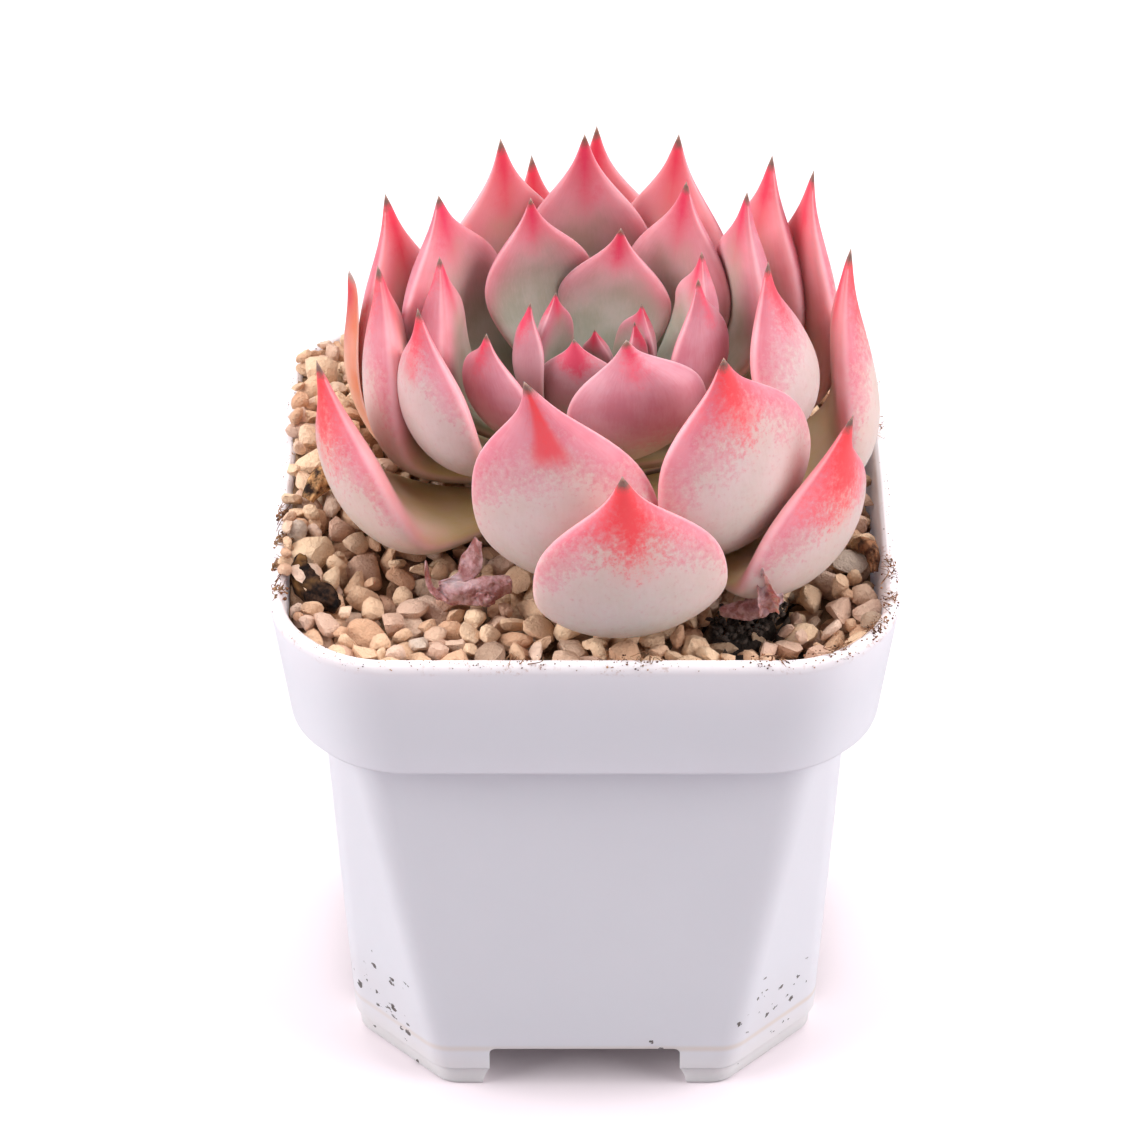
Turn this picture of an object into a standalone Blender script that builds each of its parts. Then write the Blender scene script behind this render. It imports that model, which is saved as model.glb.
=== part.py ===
"""A rosette succulent in a square pot: pot, potting soil, gravel, stem, fleshy leaves, dry leaves and bark.

Metres, +Z up. The origin is under the pot's centre, on the surface the pot stands on. The front is -Y.
Every piece is a loft through rings of points. A leaf's rings follow a midrib that runs out from the
stem and then up. Leaves nest like bowls around a focus above the crown, and each one is pressed
outwards where it meets the leaves inside it.
"""

import math
import random

import bmesh
import bpy
from mathutils import Vector
from mathutils.bvhtree import BVHTree

MM = 0.001
GAP = 0.35 * MM  # clearance between pieces that touch

# Pot
POT_HEIGHT = 68 * MM
RIM_HALF_WIDTH = 35 * MM
RIM_HEIGHT = 16.6 * MM
RIM_DRAFT = 1.9 * MM  # the rim band is this much narrower at its lower edge, each side
RIM_CUT, RIM_BEND = 8.2 * MM, 13 * MM  # leg of the corner's 45 degree cut, and the radius of its bends
LIP_ROUND = 0.5 * MM
WALL = 1.6 * MM
RIM_OVERHANG = 3.8 * MM  # the rim band's lower edge stands this far out from the body
SHOULDER_CUT, SHOULDER_BEND = 4.3 * MM, 5.6 * MM
BODY_DRAFT = 2.0 * MM  # the foot is this much narrower than the shoulder, each side
FOOT_CUT, FOOT_BEND = 10.8 * MM, 4.0 * MM
FOOT_STEP_HEIGHT = 2.6 * MM
FOOT_STEP_IN = 0.5 * MM
NOTCH_HEIGHT = 6.1 * MM  # also the height of the channels under the floor
NOTCH_WIDTH = 22.4 * MM
DRAIN_RADIUS = 4 * MM
SIDE_DRAIN_RADIUS = 2.5 * MM
SIDE_DRAIN_OFFSET = 13 * MM
CORNER_STEPS = 4  # spans along each bend of a corner
SIDE_STEPS = 4  # spans along each straight side

# Growing medium
SOIL_BELOW_LIP = 7.5 * MM
GRAVEL_BELOW_LIP = 2.9 * MM
GRAVEL_LEAN = 1.0 * MM  # higher than that at the left side, and as much lower at the right
GRAVEL_BUMP = 0.3 * MM
GRAVEL_HOLLOW = 1.4 * MM  # lower than that around the stem
GRAVEL_RINGS = 6

# Stem
CROWN_ABOVE_GRAVEL = 1.4 * MM  # where the lowest leaves join, the zero of all leaf heights
STEM_RADIUS = 4.2 * MM
STEM_TOP_RADIUS = 1.1 * MM
STEM_RISE = 11.5 * MM
TAPROOT_DEPTH = 24 * MM
TAPROOT_RADIUS = 1.0 * MM
ROUND_STEPS = 16

# Leaves. Their table is in units that follow the pot's width.
LEAF_UNIT = RIM_HALF_WIDTH / 35
FOCUS_HEIGHT = 17 * LEAF_UNIT
SECTION_POINTS = 12
MARGIN_SHARPNESS = 1.1
SWAY_POWER = 4  # a tip's sway gathers in the last part of the midrib
BACK_SHARE = 0.60  # share of a leaf's thickness on its outer side
PRESSED_SHARE = 0.6  # a pressed leaf keeps at least this share of its thickness
LEAF_GAP = 0.5 * MM  # between the points of one leaf and the faces of the next
PRESS_ROUNDS = 10
LEAF_STOPS = (  # place along the midrib, half width share of a broad and of a tapered leaf, thickness share
    (0.00, 0.16, 0.16, 0.42), (0.12, 0.36, 0.38, 0.60), (0.25, 0.63, 0.68, 0.82), (0.39, 0.85, 0.91, 0.96),
    (0.53, 0.98, 1.00, 1.00), (0.66, 1.00, 0.95, 0.98), (0.77, 0.90, 0.74, 0.86), (0.85, 0.60, 0.44, 0.62),
    (0.915, 0.25, 0.20, 0.36), (0.965, 0.09, 0.08, 0.18),
)

# A whorl: name, height of its lowest base, climb per leaf, midrib's rise at base and tip (degrees), pull of
# the tip on the curve (share of the chord), thickness, cup (share of the half width), and leaves.
# A leaf: azimuth (degrees), tip reach, tip height, width, belly (the pull of the base on the curve), taper
# and sway of the tip to the left, seen from the stem. Lengths are in leaf units.
WHORLS = (
    ("old", 0.3, 0.0, 0, 80, 0.50, 2.4, 0.14, (
        (163, 27.0, 24.8, 9.0, 0.60, 0.9, 0.0),
    )),
    ("lowest", 0.4, 0.06, 0, 81, 0.55, 4.7, 0.14, (
        (-79.5, 30.6, 23.4, 21.4, 1.00, 0.0, -1.6), (-37, 32.7, 21.2, 21.0, 0.95, 0.4, 5.4),
        (102, 29.5, 27.4, 16.0, 0.80, 0.7, 0.0), (66, 30.6, 23.0, 15.0, 0.80, 0.5, 0.0),
        (-155, 30.6, 24.2, 18.5, 0.70, 0.6, -4.2), (124, 29.0, 20.0, 14.0, 0.80, 0.5, 0.0),
        (4, 30.1, 29.4, 17.0, 1.0, 0.6, 3.7), (148, 26.6, 31.4, 16.0, 0.78, 0.7, 0.0),
        (33, 30.8, 32.8, 15.5, 0.84, 0.7, 0.0),
    )),
    ("outer", 2.4, 0.10, 4, 84, 0.52, 4.4, 0.18, (
        (-46, 24.3, 31.3, 22.0, 0.92, 0.2, -2.8), (-93, 23.4, 30.7, 20.5, 0.94, 0.3, -5.3),
        (180, 22.9, 30.7, 17.5, 0.70, 0.8, 0.0), (40, 28.2, 33.8, 15.0, 0.76, 0.8, 0.5),
        (87, 26.2, 33.0, 15.0, 0.76, 0.8, 0.0), (64, 24.5, 34.5, 17.0, 0.76, 0.8, 0.0),
        (115, 22.6, 34.7, 16.5, 0.70, 0.9, 0.0),
    )),
    ("middle", 4.6, 0.10, 22, 88, 0.48, 3.9, 0.22, (
        (-14, 20.4, 33.4, 16.0, 1.08, 0.6, 1.5), (-150, 20.1, 30.6, 15.5, 0.70, 0.8, -1.7),
        (143, 20.6, 32.2, 17.5, 0.68, 0.8, 0.0), (30, 21.0, 33.8, 13.0, 0.68, 1.0, 0.0),
        (90, 20.8, 35.2, 15.5, 0.68, 1.0, 0.0), (54, 19.6, 31.9, 15.0, 0.68, 1.0, 0.0),
        (172, 16.3, 30.4, 13.0, 0.66, 0.9, 0.0),
    )),
    ("inner", 7.0, 0.15, 40, 93, 0.44, 3.1, 0.26, (
        (-66, 10.8, 27.2, 13.0, 0.64, 0.7, 0.0), (-22, 13.4, 32.2, 12.0, 0.62, 0.9, 0.0),
        (-143, 13.5, 27.0, 12.5, 0.62, 0.9, 0.0), (114, 15.0, 31.0, 13.0, 0.62, 1.0, 0.0),
        (18, 13.7, 29.8, 11.0, 0.60, 1.0, 0.0), (73, 14.0, 27.2, 13.5, 0.60, 1.0, 0.0),
    )),
    ("heart", 9.6, 0.12, 62, 98, 0.40, 2.0, 0.24, (
        (28, 7.2, 23.4, 7.0, 0.50, 1.0, 0.0), (-15, 5.7, 24.2, 7.2, 0.50, 1.0, 0.0),
        (-160, 6.4, 27.2, 7.6, 0.50, 1.0, 0.0), (-96, 5.0, 24.2, 9.4, 0.50, 1.0, -0.7),
        (140, 4.2, 25.4, 6.0, 0.50, 1.0, 0.0), (60, 2.2, 21.0, 4.2, 0.50, 1.0, 0.0),
        (-120, 1.2, 20.6, 3.4, 0.50, 1.0, 0.0),
    )),
)

# Dry leaves and a flake of bark, lying on the gravel: place along it, then half width, half thickness and
# roll (degrees). Places are x, y and height above the gravel, all in leaf units.
FLAT_SECTION_POINTS = 8
LITTER = (
    ("dry_leaf_left", "dry_leaf", (
        ((-17.6, -19.0, 5.3), 0.4, 0.15, 60), ((-16.2, -19.6, 3.4), 1.2, 0.25, 70),
        ((-13.2, -20.0, 2.4), 1.7, 0.30, 62), ((-10.2, -19.9, 3.1), 1.5, 0.30, 70),
        ((-8.2, -19.4, 3.3), 0.9, 0.25, 80))),
    ("dry_leaf_right", "dry_leaf", (
        ((12.6, -22.6, 1.6), 0.5, 0.20, 20), ((14.6, -24.0, 2.0), 0.9, 0.35, 25),
        ((16.6, -25.2, 2.7), 1.3, 0.45, 50), ((17.4, -25.9, 4.6), 1.0, 0.30, 80),
        ((17.4, -26.3, 6.7), 0.35, 0.15, 90))),
    ("bark_flake", "bark", (
        ((-31.2, -15.0, 2.0), 1.2, 0.35, 10), ((-29.6, -18.2, 2.2), 1.9, 0.50, 14),
        ((-28.6, -21.2, 2.1), 1.4, 0.40, 8))),
)

MATERIALS = {  # colour, roughness
    "pot_plastic": ((0.82, 0.81, 0.84), 0.35),
    "soil": ((0.045, 0.030, 0.022), 0.95),
    "gravel": ((0.50, 0.34, 0.20), 0.90),
    "stem": ((0.42, 0.38, 0.22), 0.65),
    "leaf": ((0.80, 0.62, 0.50), 0.50),
    "dry_leaf": ((0.33, 0.19, 0.17), 0.75),
    "bark": ((0.10, 0.065, 0.045), 0.85),
}

LIP = POT_HEIGHT
SHOULDER_HALF_WIDTH = RIM_HALF_WIDTH - RIM_DRAFT - RIM_OVERHANG
FOOT_HALF_WIDTH = SHOULDER_HALF_WIDTH - BODY_DRAFT
SHOULDER = POT_HEIGHT - RIM_HEIGHT
FLOOR_TOP = NOTCH_HEIGHT + WALL
LEDGE_TOP = SHOULDER + 2.6 * MM
SOIL_TOP = POT_HEIGHT - SOIL_BELOW_LIP
GRAVEL_TOP = POT_HEIGHT - GRAVEL_BELOW_LIP
CROWN = GRAVEL_TOP + CROWN_ABOVE_GRAVEL
FOCUS = Vector((0, 0, CROWN + FOCUS_HEIGHT))
INSET_CUT = 2 - math.sqrt(2)  # how fast a 45 degree corner cut shrinks as its outline is inset


def clear_scene():
    for old in list(bpy.data.objects):
        bpy.data.objects.remove(old)


def make_materials():
    for name, (color, roughness) in MATERIALS.items():
        material = bpy.data.materials.new(name)
        material.use_nodes = True
        shader = material.node_tree.nodes["Principled BSDF"]
        shader.inputs["Base Color"].default_value = (*color, 1)
        shader.inputs["Roughness"].default_value = roughness


def mix(a, b, share):
    return a + (b - a) * share


def add_object(name, bm, material=None):
    mesh = bpy.data.meshes.new(name)
    bm.to_mesh(mesh)
    bm.free()
    mesh.shade_smooth()
    mesh.set_sharp_from_angle(angle=math.radians(35))
    made = bpy.data.objects.new(name, mesh)
    bpy.context.scene.collection.objects.link(made)
    if material:
        mesh.materials.append(bpy.data.materials[material])
    return made


def loft(name, sections, material, tip=None, ring_shaped=False):
    """A closed solid through rings of as many points each: capped, drawn to a tip, or joined end to end."""
    bm = bmesh.new()
    front = bm.faces.new([bm.verts.new(point) for point in sections[0]])
    for section in sections[1:]:
        front = bmesh.ops.extrude_discrete_faces(bm, faces=[front])["faces"][0]
        for vert, point in zip(front.verts, section):
            vert.co = point
    if tip is not None:
        middle = bmesh.ops.poke(bm, faces=[front])["verts"][0]
        middle.co = tip
    first_loop = [edge for edge in bm.edges if edge.is_boundary]
    if ring_shaped:
        last_loop = list(front.edges)
        bmesh.ops.delete(bm, geom=[front], context="FACES_ONLY")
        bmesh.ops.bridge_loops(bm, edges=first_loop + last_loop)
    else:
        bmesh.ops.contextual_create(bm, geom=first_loop)
    bmesh.ops.recalc_face_normals(bm, faces=bm.faces)
    return add_object(name, bm, material)


# Pot

def square_ring(half, cut, bend, z):
    """A square outline with 45 degree corner cuts, both bends of each corner rounded."""
    flat_end = half - cut - bend * math.tan(math.pi / 8)
    corner = []
    for step in range(CORNER_STEPS + 1):
        angle = math.pi / 4 * step / CORNER_STEPS
        corner.append((half - bend + bend * math.cos(angle), flat_end + bend * math.sin(angle)))
    corner += [(y, x) for x, y in reversed(corner)]
    corner += [(mix(flat_end, -flat_end, step / SIDE_STEPS), half) for step in range(1, SIDE_STEPS)]
    quarter_turns = ((1, 0), (0, 1), (-1, 0), (0, -1))
    return [Vector((x * c - y * s, x * s + y * c, z)) for c, s in quarter_turns for x, y in corner]


def body_ring(z, inset=0.0):
    share = z / SHOULDER
    return square_ring(mix(FOOT_HALF_WIDTH, SHOULDER_HALF_WIDTH, share) - inset,
                       mix(FOOT_CUT, SHOULDER_CUT, share) - INSET_CUT * inset,
                       mix(FOOT_BEND, SHOULDER_BEND, share) - inset, z)


def rim_ring(z, inset=0.0):
    half = RIM_HALF_WIDTH - RIM_DRAFT * (POT_HEIGHT - z) / RIM_HEIGHT
    return square_ring(half - inset, RIM_CUT - INSET_CUT * inset, RIM_BEND - inset, z)


def flattened(ring, z):
    return [Vector((point.x, point.y, z)) for point in ring]


def round_ring(radius, z, like):
    """A round outline whose points lie in the same directions as another ring's."""
    return [Vector((point.x, point.y, 0)).normalized() * radius + Vector((0, 0, z)) for point in like]


def cut_away(target, name, make_shape):
    bm = bmesh.new()
    make_shape(bm)
    cutter = add_object(name, bm)
    cutter.hide_render = True
    cutter.display_type = "WIRE"
    boolean = target.modifiers.new(name, "BOOLEAN")
    boolean.operation = "DIFFERENCE"
    boolean.solver = "EXACT"
    boolean.object = cutter


def channel_shape(along_x):
    def make(bm):
        bmesh.ops.create_cube(bm, size=1)
        long, low = 3 * RIM_HALF_WIDTH, NOTCH_HEIGHT
        bmesh.ops.scale(bm, verts=bm.verts, vec=(long, NOTCH_WIDTH, 2 * low) if along_x
                        else (NOTCH_WIDTH, long, 2 * low))
    return make


def drain_shape(radius, x, y):
    def make(bm):
        bmesh.ops.create_cone(bm, cap_ends=True, segments=ROUND_STEPS, radius1=radius, radius2=radius,
                              depth=4 * WALL)
        bmesh.ops.translate(bm, verts=bm.verts, vec=(x, y, NOTCH_HEIGHT + WALL / 2))
    return make


def make_pot():
    lip_inside = WALL - LIP_ROUND
    outside = [
        body_ring(0, FOOT_STEP_IN), body_ring(FOOT_STEP_HEIGHT, FOOT_STEP_IN), body_ring(FOOT_STEP_HEIGHT),
        body_ring(SHOULDER), rim_ring(SHOULDER), rim_ring(LIP - LIP_ROUND),
        flattened(rim_ring(LIP, LIP_ROUND), LIP),
    ]
    inside = [
        flattened(rim_ring(LIP, lip_inside), LIP), rim_ring(LIP - LIP_ROUND, WALL), rim_ring(LEDGE_TOP, WALL),
        body_ring(SHOULDER + LIP_ROUND, WALL), body_ring(FLOOR_TOP, WALL),
    ]
    pot = loft("pot", outside + inside, "pot_plastic")
    cut_away(pot, "channel_along_x", channel_shape(True))
    cut_away(pot, "channel_along_y", channel_shape(False))
    cut_away(pot, "middle_drain", drain_shape(DRAIN_RADIUS, 0, 0))
    for number, (x, y) in enumerate(((1, 0), (0, 1), (-1, 0), (0, -1)), start=1):
        place = (x * SIDE_DRAIN_OFFSET, y * SIDE_DRAIN_OFFSET)
        cut_away(pot, f"side_drain_{number}", drain_shape(SIDE_DRAIN_RADIUS, *place))


# Growing medium and stem

def make_soil():
    clear = WALL + GAP
    top = rim_ring(SOIL_TOP, clear)
    loft("potting_soil", [
        body_ring(FLOOR_TOP + GAP, clear), body_ring(SHOULDER + LIP_ROUND + GAP, clear),
        rim_ring(LEDGE_TOP + GAP, clear), top,
        round_ring(STEM_RADIUS + GAP, SOIL_TOP, top),
        round_ring(TAPROOT_RADIUS + GAP, SOIL_TOP - TAPROOT_DEPTH - GAP, top),
    ], "soil")


def make_gravel():
    rough = random.Random(4)
    rim = rim_ring(GRAVEL_TOP, WALL + GAP)
    collar = round_ring(STEM_RADIUS + GAP, GRAVEL_TOP, rim)
    sections = [flattened(collar, SOIL_TOP + GAP), rim_ring(SOIL_TOP + GAP, WALL + GAP)]
    for number in range(GRAVEL_RINGS + 1):
        share = number / GRAVEL_RINGS
        ring = [outer.lerp(inner, share) for outer, inner in zip(rim, collar)]
        for point in ring:
            point.z -= GRAVEL_LEAN * point.x / RIM_HALF_WIDTH + GRAVEL_BUMP * rough.random()
            point.z -= GRAVEL_HOLLOW * share
        sections.append(ring)
    loft("gravel", sections, "gravel", ring_shaped=True)


def stem_radius(height):
    return mix(STEM_RADIUS, STEM_TOP_RADIUS, min(1, height / STEM_RISE))


def make_stem():
    circle = [Vector((math.cos(turn), math.sin(turn), 0))
              for turn in (2 * math.pi * step / ROUND_STEPS for step in range(ROUND_STEPS))]
    profile = ((TAPROOT_RADIUS, SOIL_TOP - TAPROOT_DEPTH), (STEM_RADIUS, SOIL_TOP), (STEM_RADIUS, CROWN),
               (STEM_TOP_RADIUS, CROWN + STEM_RISE))
    loft("stem", [[point * radius + Vector((0, 0, z)) for point in circle] for radius, z in profile], "stem")


# Leaves

def bezier(points, t):
    a, b, c, d = points
    s = 1 - t
    return a * s ** 3 + b * 3 * s * s * t + c * 3 * s * t * t + d * t ** 3


def leaf_sections(whorl, leaf, base_height):
    _, _, _, rise, tip_rise, tip_pull, thickness, cup, _ = whorl
    azimuth, reach, height, width, belly, taper, sway = leaf
    out = Vector((math.cos(math.radians(azimuth)), math.sin(math.radians(azimuth)), 0))
    side = Vector((-out.y, out.x, 0))
    up = Vector((0, 0, 1))
    thickness *= LEAF_UNIT
    half_width = width * LEAF_UNIT / 2
    start_way = out * math.cos(math.radians(rise)) + up * math.sin(math.radians(rise))
    tip_way = out * math.cos(math.radians(tip_rise)) + up * math.sin(math.radians(tip_rise))
    base_radius = stem_radius(base_height) + GAP + thickness * LEAF_STOPS[0][3] * math.sin(math.radians(rise))
    start = out * base_radius + up * (CROWN + base_height)
    tip = out * reach * LEAF_UNIT + up * (CROWN + height * LEAF_UNIT)
    chord = (tip - start).length
    curve = (start, start + start_way * chord * belly, tip - tip_way * chord * tip_pull, tip)
    sections = []
    for place, broad_share, tapered_share, thick_share in LEAF_STOPS:
        middle = bezier(curve, place) + side * sway * LEAF_UNIT * place ** SWAY_POWER
        along = (bezier(curve, place + 0.01) - bezier(curve, place - 0.01)).normalized()
        inwards = side.cross(along).normalized() * -1
        hw = half_width * mix(broad_share, tapered_share, taper)
        ring = []
        for step in range(SECTION_POINTS):
            turn = 2 * math.pi * step / SECTION_POINTS
            across, bulge = math.cos(turn), math.sin(turn)
            side_share = 1 - BACK_SHARE if bulge > 0 else BACK_SHARE
            depth = math.copysign(abs(bulge) ** MARGIN_SHARPNESS, bulge) * side_share * thickness * thick_share
            ring.append(middle + side * hw * across + inwards * (depth + cup * hw * across ** 2))
        sections.append(ring)
    return sections, tip + side * sway * LEAF_UNIT


def tree_of(sections):
    """The surface through a leaf's rings, for measuring what lies where."""
    count = SECTION_POINTS
    points = [point for ring in sections for point in ring]
    faces = []
    for row in range(len(sections) - 1):
        for step in range(count):
            after = (step + 1) % count
            faces.append((row * count + step, row * count + after, (row + 1) * count + after,
                          (row + 1) * count + step))
    return points, faces, BVHTree.FromPolygons(points, faces)


def press_out(sections, inner_leaves):
    """Moves a leaf's points away from the focus until they clear the leaves inside it."""
    points, faces, _ = tree_of(sections)
    count = SECTION_POINTS
    ways = [(point - FOCUS).normalized() for point in points]
    partner = [row - row % count + (count - row % count) % count for row in range(len(points))]
    thick = [(points[i] - points[partner[i]]).length for i in range(len(points))]
    linked = [set() for _ in points]
    for face in faces:
        for a, b in zip(face, face[1:] + face[:1]):
            linked[a].add(b)
            linked[b].add(a)
    shift = [0.0] * len(points)
    reach = 60 * LEAF_UNIT
    for _ in range(PRESS_ROUNDS):
        moved = [point + way * far for point, way, far in zip(points, ways, shift)]
        own_tree = BVHTree.FromPolygons(moved, faces)
        need = list(shift)
        for inner_points, _, inner_tree in inner_leaves:
            for i, (point, way) in enumerate(zip(moved, ways)):
                hit = inner_tree.ray_cast(FOCUS + way * reach, -way, reach)[0]
                if hit is not None:
                    short = (hit - FOCUS).length + LEAF_GAP - (point - FOCUS).length
                    need[i] = max(need[i], shift[i] + short)
            for point in inner_points:
                way = (point - FOCUS).normalized()
                hit, _, face, far = own_tree.ray_cast(FOCUS, way, reach)
                if hit is not None and far < (point - FOCUS).length + LEAF_GAP:
                    for i in faces[face]:
                        need[i] = max(need[i], shift[i] + (point - FOCUS).length + LEAF_GAP - far)
        for i in range(len(points)):
            if (points[i] - FOCUS).length > (points[partner[i]] - FOCUS).length:
                need[i] = max(need[i], need[partner[i]] - (1 - PRESSED_SHARE) * thick[i])
        eased = [0.5 * far + 0.5 * sum(need[j] for j in linked[i]) / len(linked[i])
                 for i, far in enumerate(need)]
        shift = [max(a, b) for a, b in zip(need, eased)]
    moved = [point + way * far for point, way, far in zip(points, ways, shift)]
    return [moved[row:row + count] for row in range(0, len(moved), count)], sum(shift[-count:]) / count


def make_leaves():
    placed = []
    for whorl in reversed(WHORLS):
        name, base, climb, leaves = whorl[0], whorl[1], whorl[2], whorl[-1]
        for number in range(len(leaves), 0, -1):
            base_height = (base + climb * (number - 1)) * LEAF_UNIT
            sections, tip = leaf_sections(whorl, leaves[number - 1], base_height)
            sections, tip_shift = press_out(sections, placed)
            tip += (tip - FOCUS).normalized() * tip_shift
            placed.append(tree_of(sections))
            loft(f"{name}_leaf_{number}", sections, "leaf", tip=tip)


def make_litter():
    for name, material, stops in LITTER:
        places = [Vector(stop[0]) * LEAF_UNIT + Vector((0, 0, GRAVEL_TOP)) for stop in stops]
        sections = []
        for number, (_, half_width, half_thickness, roll) in enumerate(stops):
            along = (places[min(number + 1, len(stops) - 1)] - places[max(number - 1, 0)]).normalized()
            level = along.cross(Vector((0, 0, 1))).normalized()
            rise = level.cross(along)
            tilt = math.radians(roll)
            wide = (level * math.cos(tilt) + rise * math.sin(tilt)) * half_width * LEAF_UNIT
            thin = (rise * math.cos(tilt) - level * math.sin(tilt)) * half_thickness * LEAF_UNIT
            turns = (2 * math.pi * step / FLAT_SECTION_POINTS for step in range(FLAT_SECTION_POINTS))
            sections.append([places[number] + wide * math.cos(turn) + thin * math.sin(turn) for turn in turns])
        loft(name, sections, material)


clear_scene()
make_materials()
make_pot()
make_soil()
make_gravel()
make_stem()
make_leaves()
make_litter()
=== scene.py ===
import math
import random

import bmesh
import bpy
import numpy as np
from mathutils import Matrix, Vector, noise
from mathutils.bvhtree import BVHTree


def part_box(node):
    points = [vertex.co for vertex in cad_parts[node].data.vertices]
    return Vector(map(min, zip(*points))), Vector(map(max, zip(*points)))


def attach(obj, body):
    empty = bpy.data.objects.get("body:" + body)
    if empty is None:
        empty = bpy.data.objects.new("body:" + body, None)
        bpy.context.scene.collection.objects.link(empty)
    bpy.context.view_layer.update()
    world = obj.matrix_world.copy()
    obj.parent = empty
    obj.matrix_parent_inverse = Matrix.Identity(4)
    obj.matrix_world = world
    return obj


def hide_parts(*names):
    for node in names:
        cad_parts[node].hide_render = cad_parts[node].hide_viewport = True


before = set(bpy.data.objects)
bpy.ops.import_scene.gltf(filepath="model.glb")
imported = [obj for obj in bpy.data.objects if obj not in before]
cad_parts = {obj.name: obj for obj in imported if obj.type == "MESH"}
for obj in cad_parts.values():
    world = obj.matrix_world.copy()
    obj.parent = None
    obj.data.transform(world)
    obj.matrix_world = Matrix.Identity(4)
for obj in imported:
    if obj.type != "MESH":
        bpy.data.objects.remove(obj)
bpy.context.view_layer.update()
mm = 0.001
potLow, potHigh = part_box("pot")
lipHeight = potHigh.z


# small helpers for node trees

def wire(tree, value, socket):
    # links a socket, or sets a plain value
    if isinstance(value, bpy.types.NodeSocket):
        tree.links.new(value, socket)
    elif socket.type == "RGBA" and len(value) == 3:
        socket.default_value = (*value, 1)
    else:
        socket.default_value = value


def addNode(tree, kind, inputs=None, **settings):
    made = tree.nodes.new(kind)
    for name, value in settings.items():
        setattr(made, name, value)
    for key, value in (inputs or {}).items():
        wire(tree, value, made.inputs[key])
    return made


def calc(tree, operation, a, b=0.0, clamp=False):
    return addNode(tree, "ShaderNodeMath", {0: a, 1: b}, operation=operation, use_clamp=clamp).outputs[0]


def times(tree, a, b):
    return calc(tree, "MULTIPLY", a, b)


def plus(tree, a, b):
    return calc(tree, "ADD", a, b)


def minus(tree, a, b):
    return calc(tree, "SUBTRACT", a, b)


def sway(tree, value, reach):
    # a noise value as a shift of up to half the reach either way
    return times(tree, minus(tree, value, 0.5), reach)


def fade(tree, value, start, end):
    # smooth step from 0 at start to 1 at end
    return addNode(tree, "ShaderNodeMapRange", {"Value": value, "From Min": start, "From Max": end},
                   interpolation_type="SMOOTHSTEP").outputs["Result"]


def tint(tree, share, first, second, **settings):
    return addNode(tree, "ShaderNodeMix", {"Factor": share, 6: first, 7: second},
                   data_type="RGBA", **settings).outputs[2]


def layer(tree, under, mask, share, over):
    # lays one colour over another where the mask is, up to a share
    return tint(tree, times(tree, mask, share), under, over)


def grain(tree, scale, detail=2.0, vector=None, rough=0.5):
    place = vector or addNode(tree, "ShaderNodeTexCoord").outputs["Object"]
    return addNode(tree, "ShaderNodeTexNoise", {"Vector": place, "Scale": scale, "Detail": detail,
                                                "Roughness": rough}).outputs["Fac"]


def readAttribute(tree, name):
    return addNode(tree, "ShaderNodeAttribute", attribute_name=name).outputs["Fac"]


def newMaterial(name, roughness, **sockets):
    material = bpy.data.materials.new(name)
    material.use_nodes = True
    shader = material.node_tree.nodes["Principled BSDF"]
    shader.inputs["Roughness"].default_value = roughness
    for key, value in sockets.items():
        shader.inputs[key.replace("_", " ")].default_value = value
    return material, material.node_tree, shader


def newGroup(name, inputs, outputs):
    tree = bpy.data.node_groups.new(name, "ShaderNodeTree")
    for label, kind, value in inputs:
        socket = tree.interface.new_socket(name=label, in_out="INPUT", socket_type=kind)
        socket.default_value = value
    for label, kind in outputs:
        tree.interface.new_socket(name=label, in_out="OUTPUT", socket_type=kind)
    return tree, tree.nodes.new("NodeGroupInput").outputs, tree.nodes.new("NodeGroupOutput").inputs


def placeGroup(tree, group, values):
    return addNode(tree, "ShaderNodeGroup", values, node_tree=group).outputs


def dress(tree, shader, color, height, strength, distance):
    # base colour and bump of a finished material
    tree.links.new(color, shader.inputs["Base Color"])
    bump = addNode(tree, "ShaderNodeBump", {"Height": height, "Strength": strength, "Distance": distance})
    tree.links.new(bump.outputs["Normal"], shader.inputs["Normal"])


# small helpers for pieces

def meshFrom(name, bm):
    mesh = bpy.data.meshes.new(name)
    bm.to_mesh(mesh)
    bm.free()
    return mesh


def addObject(name, data):
    made = bpy.data.objects.new(name, data)
    bpy.context.scene.collection.objects.link(made)
    return made


def addPiece(name, bm, material, sharpAngle=None, levels=0):
    piece = addObject(name, meshFrom(name, bm))
    piece.data.shade_smooth()
    if sharpAngle:
        piece.data.set_sharp_from_angle(angle=math.radians(sharpAngle))
    piece.data.materials.append(material)
    if levels:
        smooth = piece.modifiers.new("smooth", "SUBSURF")
        smooth.levels = smooth.render_levels = levels
    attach(piece, "root")
    return piece


def mix(a, b, share):
    return a + (b - a) * share


def mergedCopy(node):
    bm = bmesh.new()
    bm.from_mesh(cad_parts[node].data)
    bmesh.ops.remove_doubles(bm, verts=bm.verts, dist=0.002 * mm)
    return bm


def drawOut(bm, faces, move):
    drawn = bmesh.ops.extrude_face_region(bm, geom=faces)["geom"]
    bmesh.ops.translate(bm, verts=[v for v in drawn if isinstance(v, bmesh.types.BMVert)], vec=move)
    bmesh.ops.recalc_face_normals(bm, faces=bm.faces)


def bakeModifiers(piece):
    shape = piece.evaluated_get(bpy.context.evaluated_depsgraph_get())
    mesh = bpy.data.meshes.new_from_object(shape)
    piece.modifiers.clear()
    piece.data = mesh


# shared effects

dirtLook = {"jitter": 2500.0, "shake": 0.9 * mm, "cells": 980.0, "patches": 210.0, "film": 120.0}


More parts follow.
